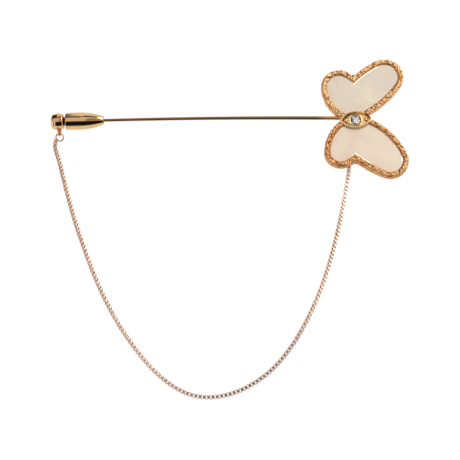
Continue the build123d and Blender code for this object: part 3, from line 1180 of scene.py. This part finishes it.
@dataclass
class Setting:
    """The pointed oval setting on its foot: a polished rim, a sunk floor, the collet that holds the
    stone, and a bead at each end."""

    foot_radius: float = 1.5 * MM
    back: float = 0.93 * MM
    top: float = 3.05 * MM
    rim: float = 0.36 * MM
    rim_round: float = 0.12 * MM
    floor: float = 2.5 * MM
    collet_inner: float = 1.14 * MM
    collet_wall: float = 0.26 * MM
    collet_top: float = 2.76 * MM
    seat: float = 2.5 * MM
    seat_slope: float = 41.0
    foot_chamfer: float = 0.08 * MM
    back_inset: float = 0.25 * MM
    back_rise: float = 0.2 * MM
    bead_radius: float = 0.4 * MM
    bead_offset: float = 2.2 * MM
    bead_sink: float = 0.05 * MM
    shade_start: tuple[float, float] = (2.0, 6.0)
    shade_end: tuple[float, float] = (31.0, 36.0)
    floor_shade: float = 0.8
    floor_shade_start: tuple[float, float] = (100.0, 140.0)
    around: int = 384
    navette: Navette = field(default_factory=Navette)

    def circle(self, radius: float) -> np.ndarray:
        """A circle with one point in each of the oval's directions."""
        return radius * unit(self.navette.outline(0.0, self.around))

    def skin(self) -> Skin:
        """The setting as one stack of rings from the foot up over the rim and down to the seat.

        The rim turns over two quarter circles and the collet's top over a half one. Painted shade lies on the
        rim between two directions up at the right, for a shadowed gap beside the frame, and on the floor at
        the left of the recess.

        Returns:
            The closed skin with its painted shade.
        """
        lip = self.rim_round
        oval = self.navette.outline
        rings: list[tuple[np.ndarray, float]] = [
            (self.circle(self.foot_radius - self.foot_chamfer), 0.0),
            (self.circle(self.foot_radius), self.foot_chamfer),
            (self.circle(self.foot_radius), self.back),
            (oval(-self.back_inset, self.around), self.back),
            (oval(0.0, self.around), self.back + self.back_rise),
        ]
        wall_row = len(rings) - 1
        for turn in np.radians(np.linspace(0.0, 90.0, 7)):
            drop = lip * (1.0 - math.sin(turn))
            rings.append((oval(-lip * (1.0 - math.cos(turn)), self.around), self.top - drop))
        for turn in np.radians(np.linspace(90.0, 180.0, 7)):
            drop = lip * (1.0 - math.sin(turn))
            rings.append((oval(-self.rim + lip * (1.0 + math.cos(turn)), self.around), self.top - drop))
        floor_row = len(rings)
        floor_edge = oval(-self.rim, self.around)
        collet_edge = self.circle(self.collet_inner + self.collet_wall)
        for share in (0.0, 0.5, 1.0):
            rings.append((floor_edge * (1.0 - share) + collet_edge * share, self.floor))
        bead = self.collet_wall / 2.0
        for turn in np.radians(np.linspace(0.0, 180.0, 11)):
            radius = self.collet_inner + bead + bead * math.cos(turn)
            rings.append((self.circle(radius), self.collet_top - bead * (1.0 - math.sin(turn))))
        depth = self.collet_inner * math.tan(math.radians(self.seat_slope))
        rings.append((self.circle(self.collet_inner), self.seat))
        rings.append((self.circle(self.collet_inner * 0.1), self.seat - 0.9 * depth))
        stack = np.stack([
            np.concatenate([plan, np.full((self.around, 1), level)], axis=1) for plan, level in rings
        ])
        skin = ring_stack(stack, (0.0, 0.0, 0.0), (0.0, 0.0, self.seat - depth))
        # Painted shade: a dark crescent on the rim up at the right, and a darker floor at the left of the
        # recess.
        azimuth = np.degrees(np.arctan2(stack[wall_row, :, 1], stack[wall_row, :, 0]))
        shaded = smooth_step(*self.shade_start, azimuth) * (1.0 - smooth_step(*self.shade_end, azimuth))
        tarnish = np.zeros(stack.shape[:2])
        tarnish[wall_row : floor_row - 2] = shaded
        floor_shaded = smooth_step(*self.floor_shade_start, np.abs(azimuth))
        tarnish[floor_row : floor_row + 2] = self.floor_shade * floor_shaded
        skin.values["tarnish"] = ring_values(tarnish, 0.0, 0.0)
        return skin

    def bead(self, sign: float) -> Skin:
        """One bead raised from the floor: a dome that flares where it meets the floor.

        At a share s of the way out, the radius is the bead's times s + 0.18 s^6, and the height is the
        bead's radius times 0.98 times the root of 1 - s^2.4.

        Args:
            sign: 1 at the right end, -1 at the left.

        Returns:
            The closed skin.
        """
        lean = math.radians(self.navette.turn)
        middle = np.array([math.cos(lean), math.sin(lean)]) * self.bead_offset * sign
        share = np.linspace(0.04, 1.0, 18)
        radius = self.bead_radius * (share + 0.18 * share**6)
        base = self.floor - self.bead_sink
        height = base + self.bead_radius * 0.98 * np.sqrt(np.clip(1.0 - share**2.4, 0.0, 1.0))
        plan = middle + radius[:, None, None] * ways(turns(48))
        level = np.broadcast_to(height[:, None, None], (*plan.shape[:2], 1))
        rings = np.concatenate([plan, level], axis=-1)
        return ring_stack(rings, (*middle, base + self.bead_radius * 0.99), (*middle, base))

    def build(self, gold: bpy.types.Material) -> None:
        """Places the setting with its two beads."""
        skin = joined([self.skin(), self.bead(1.0), self.bead(-1.0)])
        Piece("stone_setting", skin, [gold], Body.PIN, ("pin_mount",), "gold_mount", crease=40.0).place()


@dataclass
class PinStem:
    """The pin stem: a long tapered wire, bent a little, with a straight end that goes into the clutch."""

    root: tuple[float, float] = (-2.8 * MM, 0.73 * MM)
    root_turn: float = 179.4
    bend: float = 2.3
    length: float = 51.3 * MM
    root_radius: float = 0.4 * MM
    radius: float = 0.31 * MM
    level: float = 1.895 * MM
    straight: float = 5.0 * MM
    point: float = 2.2 * MM
    point_radius: float = 0.06 * MM
    bright_length: float = 5.0 * MM
    bright_fade: float = 1.5 * MM
    root_overlap: float = 0.012
    around: int = 40

    def line(self, share: np.ndarray) -> tuple[np.ndarray, np.ndarray]:
        """Points and directions along the bent stretch.

        The heading turns evenly from the root's by the bend, so that the points lie on an arc.

        Args:
            share: places from 0 at the root to 1 at the clutch's mouth.

        Returns:
            N x 3 arrays of points and of unit directions.
        """
        radius = self.length / math.radians(self.bend)
        heading = np.radians(self.root_turn + self.bend * share)
        first = math.radians(self.root_turn)
        x = self.root[0] + radius * (np.sin(heading) - math.sin(first))
        y = self.root[1] - radius * (np.cos(heading) - math.cos(first))
        level = np.full(len(share), self.level)
        way = np.stack([np.cos(heading), np.sin(heading), np.zeros(len(share))], axis=1)
        return np.stack([x, y, level], axis=1), way

    def build(self, gold: bpy.types.Material) -> None:
        """Places the stem, with its point inside the clutch.

        Its radius goes evenly from the root's to the clutch's. It carries painted shade, which darkens its
        gold, except on the bright length next to the butterfly.

        Args:
            gold: its metal.
        """
        share = np.linspace(-self.root_overlap, 1.0, 90)
        points, way = self.line(share)
        mouth, out = points[-1], way[-1]
        steps = np.array([self.straight * 0.5, self.straight, self.straight + self.point])
        points = np.concatenate([points, mouth + steps[:, None] * out])
        way = np.concatenate([way, np.repeat(out[None], 3, axis=0)])
        taper = self.root_radius + (self.radius - self.root_radius) * np.clip(share, 0.0, 1.0)
        radius = np.concatenate([taper, [self.radius, self.radius, self.point_radius]])
        spoke = spokes(turns(self.around), np.cross(UP, way)[:, None, :], UP)
        rings = points[:, None, :] + radius[:, None, None] * spoke
        skin = ring_stack(rings, points[0], points[-1])
        # painted shade: the stem's gold is darkened away from the butterfly
        away = np.linalg.norm(points - points[0], axis=1)
        stem_shade = smooth_step(self.bright_length - self.bright_fade, self.bright_length + self.bright_fade, away)
        skin.values["tarnish"] = ring_values(np.repeat(stem_shade, self.around), 0.0, 1.0)
        Piece("pin_stem", skin, [gold], Body.PIN, ("pin_mount",), "gold_mount").place()


@dataclass
class Clutch:
    """The spring clutch on the stem's end: a tapered sleeve, and the knob that it is pulled from, with
    the lug that carries the jump ring."""

    stem: PinStem = field(default_factory=PinStem)
    sleeve_length: float = 8.2 * MM
    sleeve_radius: float = 1.875 * MM
    straight: float = 3.0 * MM
    nose_radius: float = 0.98 * MM
    nose_length: float = 0.3 * MM
    nose_step: float = 0.08 * MM
    nose_round: float = 0.08 * MM
    groove: float = 0.06 * MM
    groove_slope: float = 0.02 * MM
    chamfer: float = 0.14 * MM
    bore_edge: float = 0.06 * MM
    hole_edge: float = 0.05 * MM
    bore: float = 0.96 * MM
    bore_depth: float = 3.8 * MM
    pin_bore: float = 0.37 * MM
    neck_radius: float = 0.9 * MM
    neck_show: float = 0.48 * MM
    neck_depth: float = 3.4 * MM
    neck_corner: float = 0.05 * MM
    neck_chamfer: float = 0.1 * MM
    neck_bore_depth: float = 2.8 * MM
    knob_length: float = 2.76 * MM
    knob_radius: float = 1.8 * MM
    knob_end: float = 1.68 * MM
    dome: float = 0.12 * MM
    left_round: float = 0.7 * MM
    right_round: float = 0.4 * MM
    lug_offset: float = 1.02 * MM
    lug_reach: float = 2.6 * MM
    lug_root: float = 1.0 * MM
    lug_droop: float = 24.0
    lug_thickness: float = 0.5 * MM
    lug_root_thickness: float = 1.25 * MM
    lug_round: float = 0.5 * MM
    hole_radius: float = 0.25 * MM
    around: int = 144

    def frame(self) -> tuple[np.ndarray, np.ndarray]:
        """The sleeve's open end on its axis, and the axis towards the butterfly."""
        points, way = self.stem.line(np.array([1.0]))
        return points[0] + self.sleeve_length * way[0], -way[0]

    def sleeve_skin(self) -> Skin:
        """The sleeve: its profile runs from the bottom of the bore out over the body to the nose.

        The body narrows along one arc, level at its start, whose radius is (run^2 + drop^2) / (2 drop).

        Returns:
            The closed skin.
        """
        nose_start = self.sleeve_length - self.nose_length
        drop = self.sleeve_radius - self.nose_radius
        run = nose_start - self.straight
        arc_radius = (run**2 + drop**2) / (2.0 * drop)
        swept = math.degrees(math.asin(run / arc_radius))
        end, low = self.sleeve_length, self.sleeve_radius - arc_radius
        collar = self.nose_radius - self.nose_step
        profile = np.concatenate([
            [[self.bore_depth, self.bore], [self.bore_edge, self.bore], [0.0, self.bore + self.bore_edge]],
            arc_points((self.chamfer, self.sleeve_radius - self.chamfer), self.chamfer, 180.0, 90.0, 8),
            arc_points((self.straight, low), arc_radius, 90.0, 90.0 - swept, 40),
            [[nose_start + self.groove_slope, collar + self.groove_slope],
             [nose_start + self.groove, collar]],
            arc_points((end - self.nose_round, collar - self.nose_round), self.nose_round, 90.0, 0.0, 6),
            [[end, self.pin_bore + self.hole_edge], [end - self.hole_edge, self.pin_bore],
             [self.bore_depth, self.pin_bore]],
        ])
        origin, axis = self.frame()
        return ring_stack(turned_rings(profile, origin, axis, self.around), loop=True)

    def knob_skin(self) -> Skin:
        """The knob and its neck: a barrel with rounded ends, then the thinner neck with a blind bore.

        At a share s of the barrel, its radius is the end's plus the bulge times 1 - (2 s - 1)^2.

        Returns:
            The closed skin, with painted shade on the neck, for the shade in the gap between knob and sleeve.
        """
        right = -self.neck_show
        left = right - self.knob_length
        share = np.linspace(0.0, 1.0, 24)
        from_left = left + self.left_round + self.dome
        to_right = right - self.right_round
        along = from_left + (to_right - from_left) * share
        bulge = (self.knob_radius - self.knob_end) * (1.0 - (2.0 * share - 1.0) ** 2)
        barrel = np.stack([along, self.knob_end + bulge], axis=1)
        end_face, shoulder = self.knob_end - self.left_round, self.knob_end - self.right_round
        left_arc = arc_points((from_left, end_face), self.left_round, 180.0, 90.0, 14)
        right_arc = arc_points((to_right, shoulder), self.right_round, 90.0, 0.0, 12)
        cap = np.linspace(0.1, 0.95, 6)
        dome = np.stack([left + self.dome * cap**2, end_face * cap], axis=1)
        profile = np.concatenate([
            dome, left_arc, barrel[1:-1], right_arc,
            [[right, self.neck_radius + self.neck_corner], [right + self.neck_corner, self.neck_radius],
             [self.neck_depth - self.neck_chamfer, self.neck_radius],
             [self.neck_depth, self.neck_radius - self.neck_chamfer],
             [self.neck_depth, self.pin_bore], [self.neck_depth - self.neck_bore_depth, self.pin_bore]],
        ])
        origin, axis = self.frame()
        rings = turned_rings(profile, origin, axis, self.around)
        skin = ring_stack(rings, origin + left * axis, origin + profile[-1, 0] * axis)
        # painted shade on the neck, which lies in the gap between knob and sleeve
        on_neck = (profile[:, 0] >= right).astype(float)
        skin.values["tarnish"] = ring_values(np.repeat(on_neck, self.around), 0.0, 1.0)
        return skin

    def lug_frame(self) -> tuple[np.ndarray, np.ndarray, np.ndarray]:
        """The lug's foot on the knob's axis, the way it points and the clutch's axis."""
        origin, axis = self.frame()
        droop = math.radians(self.lug_droop)
        way = -math.cos(droop) * np.cross(UP, axis) - math.sin(droop) * UP
        return origin + (-self.neck_show - self.lug_offset) * axis, way, axis

    def lug_skin(self) -> Skin:
        """The lug: a tongue round its hole that thickens towards the knob.

        Each ring goes round the tongue's edge, from the hole outwards over one face, round the outer
        edge and back over the other. At an angle t, the outer edge lies at the lug's rounding where it
        points away from the knob, and runs back to the root elsewhere.

        Returns:
            The closed skin.
        """
        foot, way, axis = self.lug_frame()
        hole = foot + self.lug_reach * way
        flat = np.cross(axis, way)
        turn = turns(72)
        back = self.lug_reach - self.lug_root
        away, tiny = np.cos(turn), 1e-6
        length = back / np.maximum(-away, tiny)
        width = self.lug_round / np.maximum(np.abs(np.sin(turn)), tiny)
        reach = np.where(away < 0, np.minimum(length, width), self.lug_round)
        spoke = spokes(turn, way, flat)
        section = np.array([
            [0.0, -0.8], [0.08, -1.0], [0.85, -1.0], [1.0, -0.7],
            [1.0, 0.7], [0.85, 1.0], [0.08, 1.0], [0.0, 0.8],
        ])
        radial = self.hole_radius + section[:, :1] * (reach - self.hole_radius)
        backward = np.clip(-radial * away / back, 0.0, 1.0)
        half = 0.5 * (self.lug_thickness + (self.lug_root_thickness - self.lug_thickness) * backward)
        rings = hole + radial[..., None] * spoke + (section[:, 1:] * half)[..., None] * axis
        return ring_stack(rings, loop=True)

    def build(self, gold: bpy.types.Material, deep_gold: bpy.types.Material) -> None:
        """Places the sleeve on its own body, and the knob with the lug on the pin's.

        Args:
            gold: the metal of sleeve and knob.
            deep_gold: the lug's metal.
        """
        for name, skin, material, body, node, slot in (
            ("clutch_sleeve_shell", self.sleeve_skin(), gold, Body.SLEEVE, "clutch_sleeve", "gold_sleeve"),
            ("clutch_knob", self.knob_skin(), gold, Body.PIN, "clutch_plunger", "gold_plunger"),
            ("ring_lug", self.lug_skin(), deep_gold, Body.PIN, "clutch_plunger", "gold_plunger"),
        ):
            Piece(name, skin, [material], body, (node,), slot).place()


@dataclass
class JumpRing:
    """The jump ring in the lug's hole, a round wire bent to a ring that leans down to the surface."""

    clutch: Clutch = field(default_factory=Clutch)
    radius: float = 0.8 * MM
    wire: float = 0.3 * MM
    clearance: float = 0.02 * MM
    seam_place: float = 0.4
    seam_width: float = 0.05
    seam_depth: float = 0.1
    around: int = 96
    wire_around: int = 20

    def build(self, gold: bpy.types.Material) -> None:
        """Places the ring.

        A point is the ring's middle plus the radius along a spoke, plus the wire's radius along a turn
        between the spoke and the ring's axis. The wire is a little thinner at its soldered seam.

        Args:
            gold: its metal.
        """
        foot, way, axis = self.clutch.lug_frame()
        hole = foot + self.clutch.lug_reach * way
        drop = hole[2] - self.wire / 2.0 - self.clearance
        lean = math.asin(drop / (2.0 * self.radius))
        out = -math.cos(lean) * np.cross(UP, axis) - math.sin(lean) * UP
        middle = hole + self.radius * out
        turn = turns(self.around)
        spoke = spokes(turn, axis, out)
        seam = 1.0 - self.seam_depth * np.exp(-(((turn - self.seam_place) / self.seam_width) ** 2))
        offset = spokes(turns(self.wire_around)[:, None], spoke, np.cross(out, axis))
        rings = middle + self.radius * spoke + (self.wire / 2.0 * seam)[:, None] * offset
        skin = ring_stack(rings, loop=True)
        Piece("jump_ring_wire", skin, [gold], Body.PIN, ("jump_ring",), "gold_ring").place()


@dataclass
class ChainEye:
    """The half ring soldered under the lower wing, which holds the chain's last link."""

    middle: tuple[float, float, float] = (-1.36 * MM, -8.3 * MM, 1.0 * MM)
    radius: float = 0.55 * MM
    wire: float = 0.3 * MM
    let_in: float = 0.12

    def build(self, gold: bpy.types.Material) -> None:
        """Places the eye: the lower half of a torus that stands across the chain's way, with its ends
        let into the back of the wing.

        Args:
            gold: its metal.
        """
        turn = np.linspace(-self.let_in, math.pi + self.let_in, 40)
        spoke = spokes(turn, np.array([1.0, 0.0, 0.0]), -UP)
        offset = spokes(turns(16), spoke[:, None], np.array([0.0, 1.0, 0.0]))
        line = np.array(self.middle) + self.radius * spoke
        rings = line[:, None] + self.wire / 2.0 * offset
        skin = ring_stack(rings, line[0], line[-1])
        Piece("chain_eye", skin, [gold], Body.PIN, ("pin_mount",), "gold_mount").place()


@dataclass
class SafetyChain:
    """The box chain: oblong links of flat strip, each turned a quarter from the next, which the whole
    chain's slow twist turns a little further."""

    width: float = 0.88 * MM
    length: float = 0.6 * MM
    pitch: float = 0.43 * MM
    wall: float = 0.08 * MM
    strip: float = 0.5 * MM
    outer_cut: float = 0.12 * MM
    inner_cut: float = 0.07 * MM
    strip_round: float = 0.03 * MM
    inside_shade: float = 0.25
    lift: float = 0.02 * MM
    overrun: float = 0.2 * MM
    twist: tuple[tuple[float, float], ...] = (
        (0.0, 0.0), (3.0, 22.0), (50.0, 21.0), (65.0, 20.0), (80.0, 22.0), (117.0, 22.0), (126.0, 8.0),
        (129.5, 0.0),
    )
    route: tuple[tuple[float, float], ...] = (
        (-64.50, -4.00), (-64.70, -5.20), (-64.15, -6.90), (-63.35, -9.20), (-62.50, -12.40),
        (-61.20, -17.00), (-59.40, -22.80), (-57.00, -29.30), (-54.15, -36.25), (-50.55, -43.25),
        (-46.10, -49.85), (-41.05, -55.55), (-35.25, -59.25), (-29.45, -59.65), (-23.80, -57.85),
        (-18.15, -53.90), (-13.50, -47.90), (-9.80, -40.90), (-7.10, -34.10), (-5.05, -27.20),
        (-3.30, -19.90), (-2.25, -14.60), (-1.65, -11.30), (-1.40, -8.70),
    )

    def line(self) -> np.ndarray:
        """Points along the smooth curve that the route controls.

        Returns:
            N x 3 array, read from a NURBS curve with no bevel.
        """
        curve = bpy.data.curves.new("chain_line", "CURVE")
        curve.dimensions = "3D"
        curve.resolution_u = 24
        spline = curve.splines.new("NURBS")
        spline.points.add(len(self.route) - 1)
        points = np.array([(x * MM, y * MM, 0.0, 1.0) for x, y in self.route])
        spline.points.foreach_set("co", points.astype(np.float32).ravel())
        spline.order_u = 3
        spline.use_endpoint_u = True
        carrier = add_object("chain_line", curve)
        bpy.context.view_layer.update()
        mesh = bpy.data.meshes.new_from_object(carrier)
        found = np.zeros(len(mesh.vertices) * 3, np.float32)
        mesh.vertices.foreach_get("co", found)
        bpy.data.objects.remove(carrier)
        bpy.data.curves.remove(curve)
        bpy.data.meshes.remove(mesh)
        return found.reshape(-1, 3).astype(float)

    def link(self) -> np.ndarray:
        """One link about its own middle, as 8 rings of 6 points.

        Four pairs of corners go round an oblong with cut corners. At each, six points go round the
        strip: the first and last on its inner face and four on its rounded outer one.

        Returns:
            8 x 6 x 3 array of places along the chain, across the link and across the strip.
        """
        def oblong(inset: float, cut: float) -> np.ndarray:
            """An oblong with cut corners, an inset inside the link's outer edge."""
            x, y = self.length / 2.0 - inset, self.width / 2.0 - inset
            return np.array([
                (x, cut - y), (x, y - cut), (x - cut, y), (cut - x, y),
                (-x, y - cut), (-x, cut - y), (cut - x, -y), (x - cut, -y),
            ])
        outer = oblong(0.0, self.outer_cut)
        inner = oblong(self.wall, self.inner_cut)
        half, soft = self.strip / 2.0, self.strip_round
        shoulder = outer + (inner - outer) * (soft / self.wall)
        rows = [(inner, -half), (shoulder, -half), (outer, soft - half), (outer, half - soft),
                (shoulder, half), (inner, half)]
        return np.stack([
            np.concatenate([plan, np.full((8, 1), height)], axis=1) for plan, height in rows
        ], axis=1)

    def build(self, gold: bpy.types.Material) -> None:
        """Places every link along the route, standing on the surface.

        A link's point is its middle plus the point's places along, across and through times the link's three
        directions. The links' inner faces carry painted shade.

        Args:
            gold: their metal.
        """
        line = self.line()
        reach = np.concatenate([[0.0], np.cumsum(np.linalg.norm(np.diff(line, axis=0), axis=1))])
        places = np.arange(-self.overrun, reach[-1] + self.overrun, self.pitch)

        def at_links(rows: np.ndarray) -> np.ndarray:
            """Rows that go with the line's points, read off at the links' places."""
            return np.stack([np.interp(places, reach, rows[:, axis]) for axis in range(3)], axis=1)

        way = unit(at_links(unit(np.gradient(line, reach, axis=0))))
        past = places - np.clip(places, 0.0, reach[-1])
        middle = at_links(line) + past[:, None] * way
        travel, degrees = np.array(self.twist).T
        turn = np.radians(np.interp(places, travel * MM, degrees))
        middle[:, 2] = self.lift + (self.width * np.cos(turn) + self.strip * np.sin(turn)) / 2.0
        roll = turn + np.radians(90.0) * (np.arange(len(places)) % 2)
        side = np.cross(UP, way)
        link = self.link()
        directions = (way, spokes(roll, side, UP), spokes(roll, UP, -side))
        points = middle[:, None, None] + sum(
            link[..., axis, None] * direction[:, None, None] for axis, direction in enumerate(directions)
        )
        starts = np.arange(len(places)) * link.shape[0] * link.shape[1]
        quads = (ring_stack(link, loop=True).faces[0] + starts[:, None, None]).reshape(-1, 4)
        skin = Skin(points.reshape(-1, 3), [quads], {}, [np.zeros(len(quads), int)])
        # painted shade on the links' inner faces, where they lie in each other's shade
        inner_face = np.array([1.0, 0.0, 0.0, 0.0, 0.0, 1.0])
        skin.values["tarnish"] = self.inside_shade * np.tile(inner_face, link.shape[0] * len(places))
        Piece(
            "chain_links", skin.facing_out(), [gold], Body.PIN, ("safety_chain",), "gold_chain", crease=25.0
        ).place()
        log.info("chain: %d links over %.1f mm", len(places), reach[-1] / MM)


@dataclass(frozen=True)
class DarkCard:
    """A dark card in the room.

    Attributes:
        lean: its ends, as angles in degrees from straight up towards the front.
        side: its ends across, as the X of a direction of length 1.
        depth: how much of the room's light it takes away.
        soft: how many degrees its ends fade over, on each side.
    """

    lean: tuple[float, float]
    side: tuple[float, float]
    depth: float = 1.0
    soft: float = 2.5


@dataclass
class Studio:
    """A plain white surface in a bright room with soft light from all round, and the camera."""

    target: tuple[float, float, float] = (-26.974 * MM, -24.093 * MM, 0.0)
    elevation: float = 71.063
    distance: float = 234.353 * MM
    lens: float = 87.34
    floor_size: float = 1.2
    floor_glow: float = 0.93
    fibre: float = 0.5 * MM
    bright: float = 1.02
    darkest: float = 0.015
    side_soft: float = 0.06
    lamp_size: float = 0.2
    cards: tuple[DarkCard, ...] = (
        DarkCard((26.5, 120.0), (-0.45, 0.75)),
        DarkCard((-45.0, -21.0), (-2.0, -0.05), 0.85, 3.0),
        DarkCard((-51.0, -29.0), (-0.05, 2.0), 1.0, 3.0),
        DarkCard((-92.0, -38.0), (-2.0, -0.2), 1.0, 3.0),
        DarkCard((-14.0, 27.0), (0.1, 0.75), 0.65, 4.0),
        DarkCard((-16.0, 28.0), (-2.0, 2.0), 0.24, 5.0),
    )

    def floor(self) -> None:
        """The surface: a large flat sheet with a faint fibre."""
        recipe = Recipe("matt_white_card")
        fibre = recipe.noise(self.fibre, Detail=3.0)
        settings = {
            "Roughness": 0.9, "Specular IOR Level": 0.1,
            "Emission Color": linear(WHITE), "Emission Strength": self.floor_glow,
        }
        colour = recipe.ramp(fibre, [(0.3, "#686868"), (0.7, "#6E6E6E")])
        material = recipe.finished(settings, {"Base Color": colour})
        count = 5
        side = np.linspace(-self.floor_size, self.floor_size, count)
        x, y = np.meshgrid(side, side)
        numbers = np.arange(count * count).reshape(count, count)
        quads = np.stack([numbers[:-1, :-1], numbers[:-1, 1:], numbers[1:, 1:], numbers[1:, :-1]], axis=-1)
        points = np.stack([x, y, np.zeros_like(x)], axis=-1)
        mesh = bpy.data.meshes.new("surface")
        mesh.from_pydata(points.reshape(-1, 3), [], quads.reshape(-1, 4))
        mesh.materials.append(material)
        surface = add_object("surface", mesh)

    def room(self) -> None:
        """The light: a bright room all round with darker cards in it, which polished gold shows as bands.

        A direction's lean is the arc tangent of -y over z. A card is a range of leans and a range of x,
        each with soft ends, and where cards overlap the darker one counts.
        """
        world = bpy.data.worlds.new("bright_room")
        world.use_nodes = True
        tree = world.node_tree
        tree.nodes.clear()
        place = add_node(tree, "ShaderNodeTexCoord")
        parts = add_node(tree, "ShaderNodeSeparateXYZ", {}, {"0": (place, "Generated")})
        lean = worked(tree, "ARCTAN2", worked(tree, "MULTIPLY", (parts, "Y"), -1.0), (parts, "Z"))

        def between(source: Source, ends: tuple[float, float], soft: float) -> Source:
            """A mask that is 1 between two ends, each softened, and 0 outside."""
            rise, fall = (
                (add_node(
                    tree, "ShaderNodeMapRange",
                    {"interpolation_type": "SMOOTHSTEP", "From Min": end - soft, "From Max": end + soft,
                     "To Min": before, "To Max": 1.0 - before},
                    {"Value": source},
                ), 0)
                for end, before in zip(ends, (0.0, 1.0))
            )
            return worked(tree, "MULTIPLY", rise, fall)

        dark: Source | float = 0.0
        for card in self.cards:
            ends = tuple(math.radians(angle) for angle in card.lean)
            along = between(lean, ends, math.radians(card.soft))
            mask = worked(tree, "MULTIPLY", along, between((parts, "X"), card.side, self.side_soft))
            dark = worked(tree, "MAXIMUM", dark, worked(tree, "MULTIPLY", mask, card.depth))
        bright = add_node(
            tree, "ShaderNodeMapRange", {"To Min": self.bright, "To Max": self.darkest}, {"Value": dark}
        )
        room = add_node(tree, "ShaderNodeBackground", {"Color": linear(WHITE)}, {"Strength": (bright, 0)})
        seen = add_node(tree, "ShaderNodeBackground", {"Color": linear(WHITE), "Strength": 1.0})
        path = add_node(tree, "ShaderNodeLightPath")
        mixed = add_node(
            tree, "ShaderNodeMixShader", {},
            {"0": (path, "Is Camera Ray"), "1": (room, 0), "2": (seen, 0)},
        )
        add_node(tree, "ShaderNodeOutputWorld", {}, {"Surface": (mixed, 0)})
        bpy.context.scene.world = world

    def lamps(self) -> None:
        """Two soft lamps, high at the right, that add sparkle to the bark."""
        for name, spot, power in (
            ("back_right_lamp", (0.3, 0.3, 0.45), 1.7), ("right_lamp", (0.35, 0.05, 0.45), 0.4)
        ):
            light = bpy.data.lights.new(name, "AREA")
            light.shape = "SQUARE"
            light.size = self.lamp_size
            light.energy = power
            lamp = add_object(name, light)
            lamp.location = spot
            lamp.rotation_euler = (Vector(self.target) - Vector(spot)).to_track_quat("-Z", "Y").to_euler()

    def camera(self) -> None:
        """The camera, which looks down at the pin from in front."""
        tilt = math.radians(self.elevation)
        camera = bpy.data.cameras.new("camera")
        camera.lens = self.lens
        camera.sensor_width = 36.0
        camera.clip_start = 1.0 * MM
        camera.clip_end = 20.0
        holder = add_object("camera", camera)
        away = Vector((0.0, -math.cos(tilt), math.sin(tilt))) * self.distance
        holder.location = Vector(self.target) + away
        holder.rotation_euler = (-away).to_track_quat("-Z", "Y").to_euler()
        bpy.context.scene.camera = holder

    def build(self) -> None:
        """Sets up surface, room, lamps, camera and the plain display of colours."""
        self.floor()
        self.room()
        self.lamps()
        self.camera()
        bpy.context.scene.view_settings.view_transform = "Standard"
        bpy.context.scene.view_settings.look = "None"


GOLDS = {
    gold.name: gold
    for gold in (
        PolishedGold("polished_gold"),
        PolishedGold("plain_back_gold", roughness=0.22),
        # The third colour of chain and stem gold is what their painted shade darkens them to.
        PolishedGold("chain_gold", colour="#EECAB2", shade="#DAB49C", painted_shade_colour="#5A2E1E", roughness=0.3),
        PolishedGold("setting_gold", colour="#F8D8A4", shade="#ECBE80", roughness=0.1),
        PolishedGold("stem_gold", colour="#F2B878", shade="#E0A060", painted_shade_colour="#98704A", roughness=0.12),
        PolishedGold("lug_gold", colour="#F4AC72", shade="#E0925A", roughness=0.45),
    )
}


def dress_stone(frame: dict[str, object]) -> None:
    """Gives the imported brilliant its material."""
    stone = frame["nodes"]["diamond"]
    stone.data.materials.clear()
    stone.data.materials.append(CutStone().material())


def main() -> None:
    """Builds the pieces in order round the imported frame."""
    logging.basicConfig(level=logging.INFO, format="%(name)s: %(message)s")
    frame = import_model()
    Studio().build()
    gold = {name: finish.material() for name, finish in GOLDS.items()}
    SafetyChain().build(gold["chain_gold"])
    WingFrames().build(BarkGold().material(), gold["plain_back_gold"])
    ShellPlates().build(
        Nacre("upper_nacre", light="#F0E5CA", body="#E8D9C6", tint="#E8D7CD").material(),
        Nacre("lower_nacre", light="#F5E5CC", body="#F1DFC8", tint="#EDD7C1").material(),
    )
    Setting().build(gold["setting_gold"])
    dress_stone(frame)
    PinStem().build(gold["stem_gold"])
    Clutch().build(gold["polished_gold"], gold["lug_gold"])
    JumpRing().build(gold["polished_gold"])
    ChainEye().build(gold["polished_gold"])


if __name__ == "__main__":
    main()
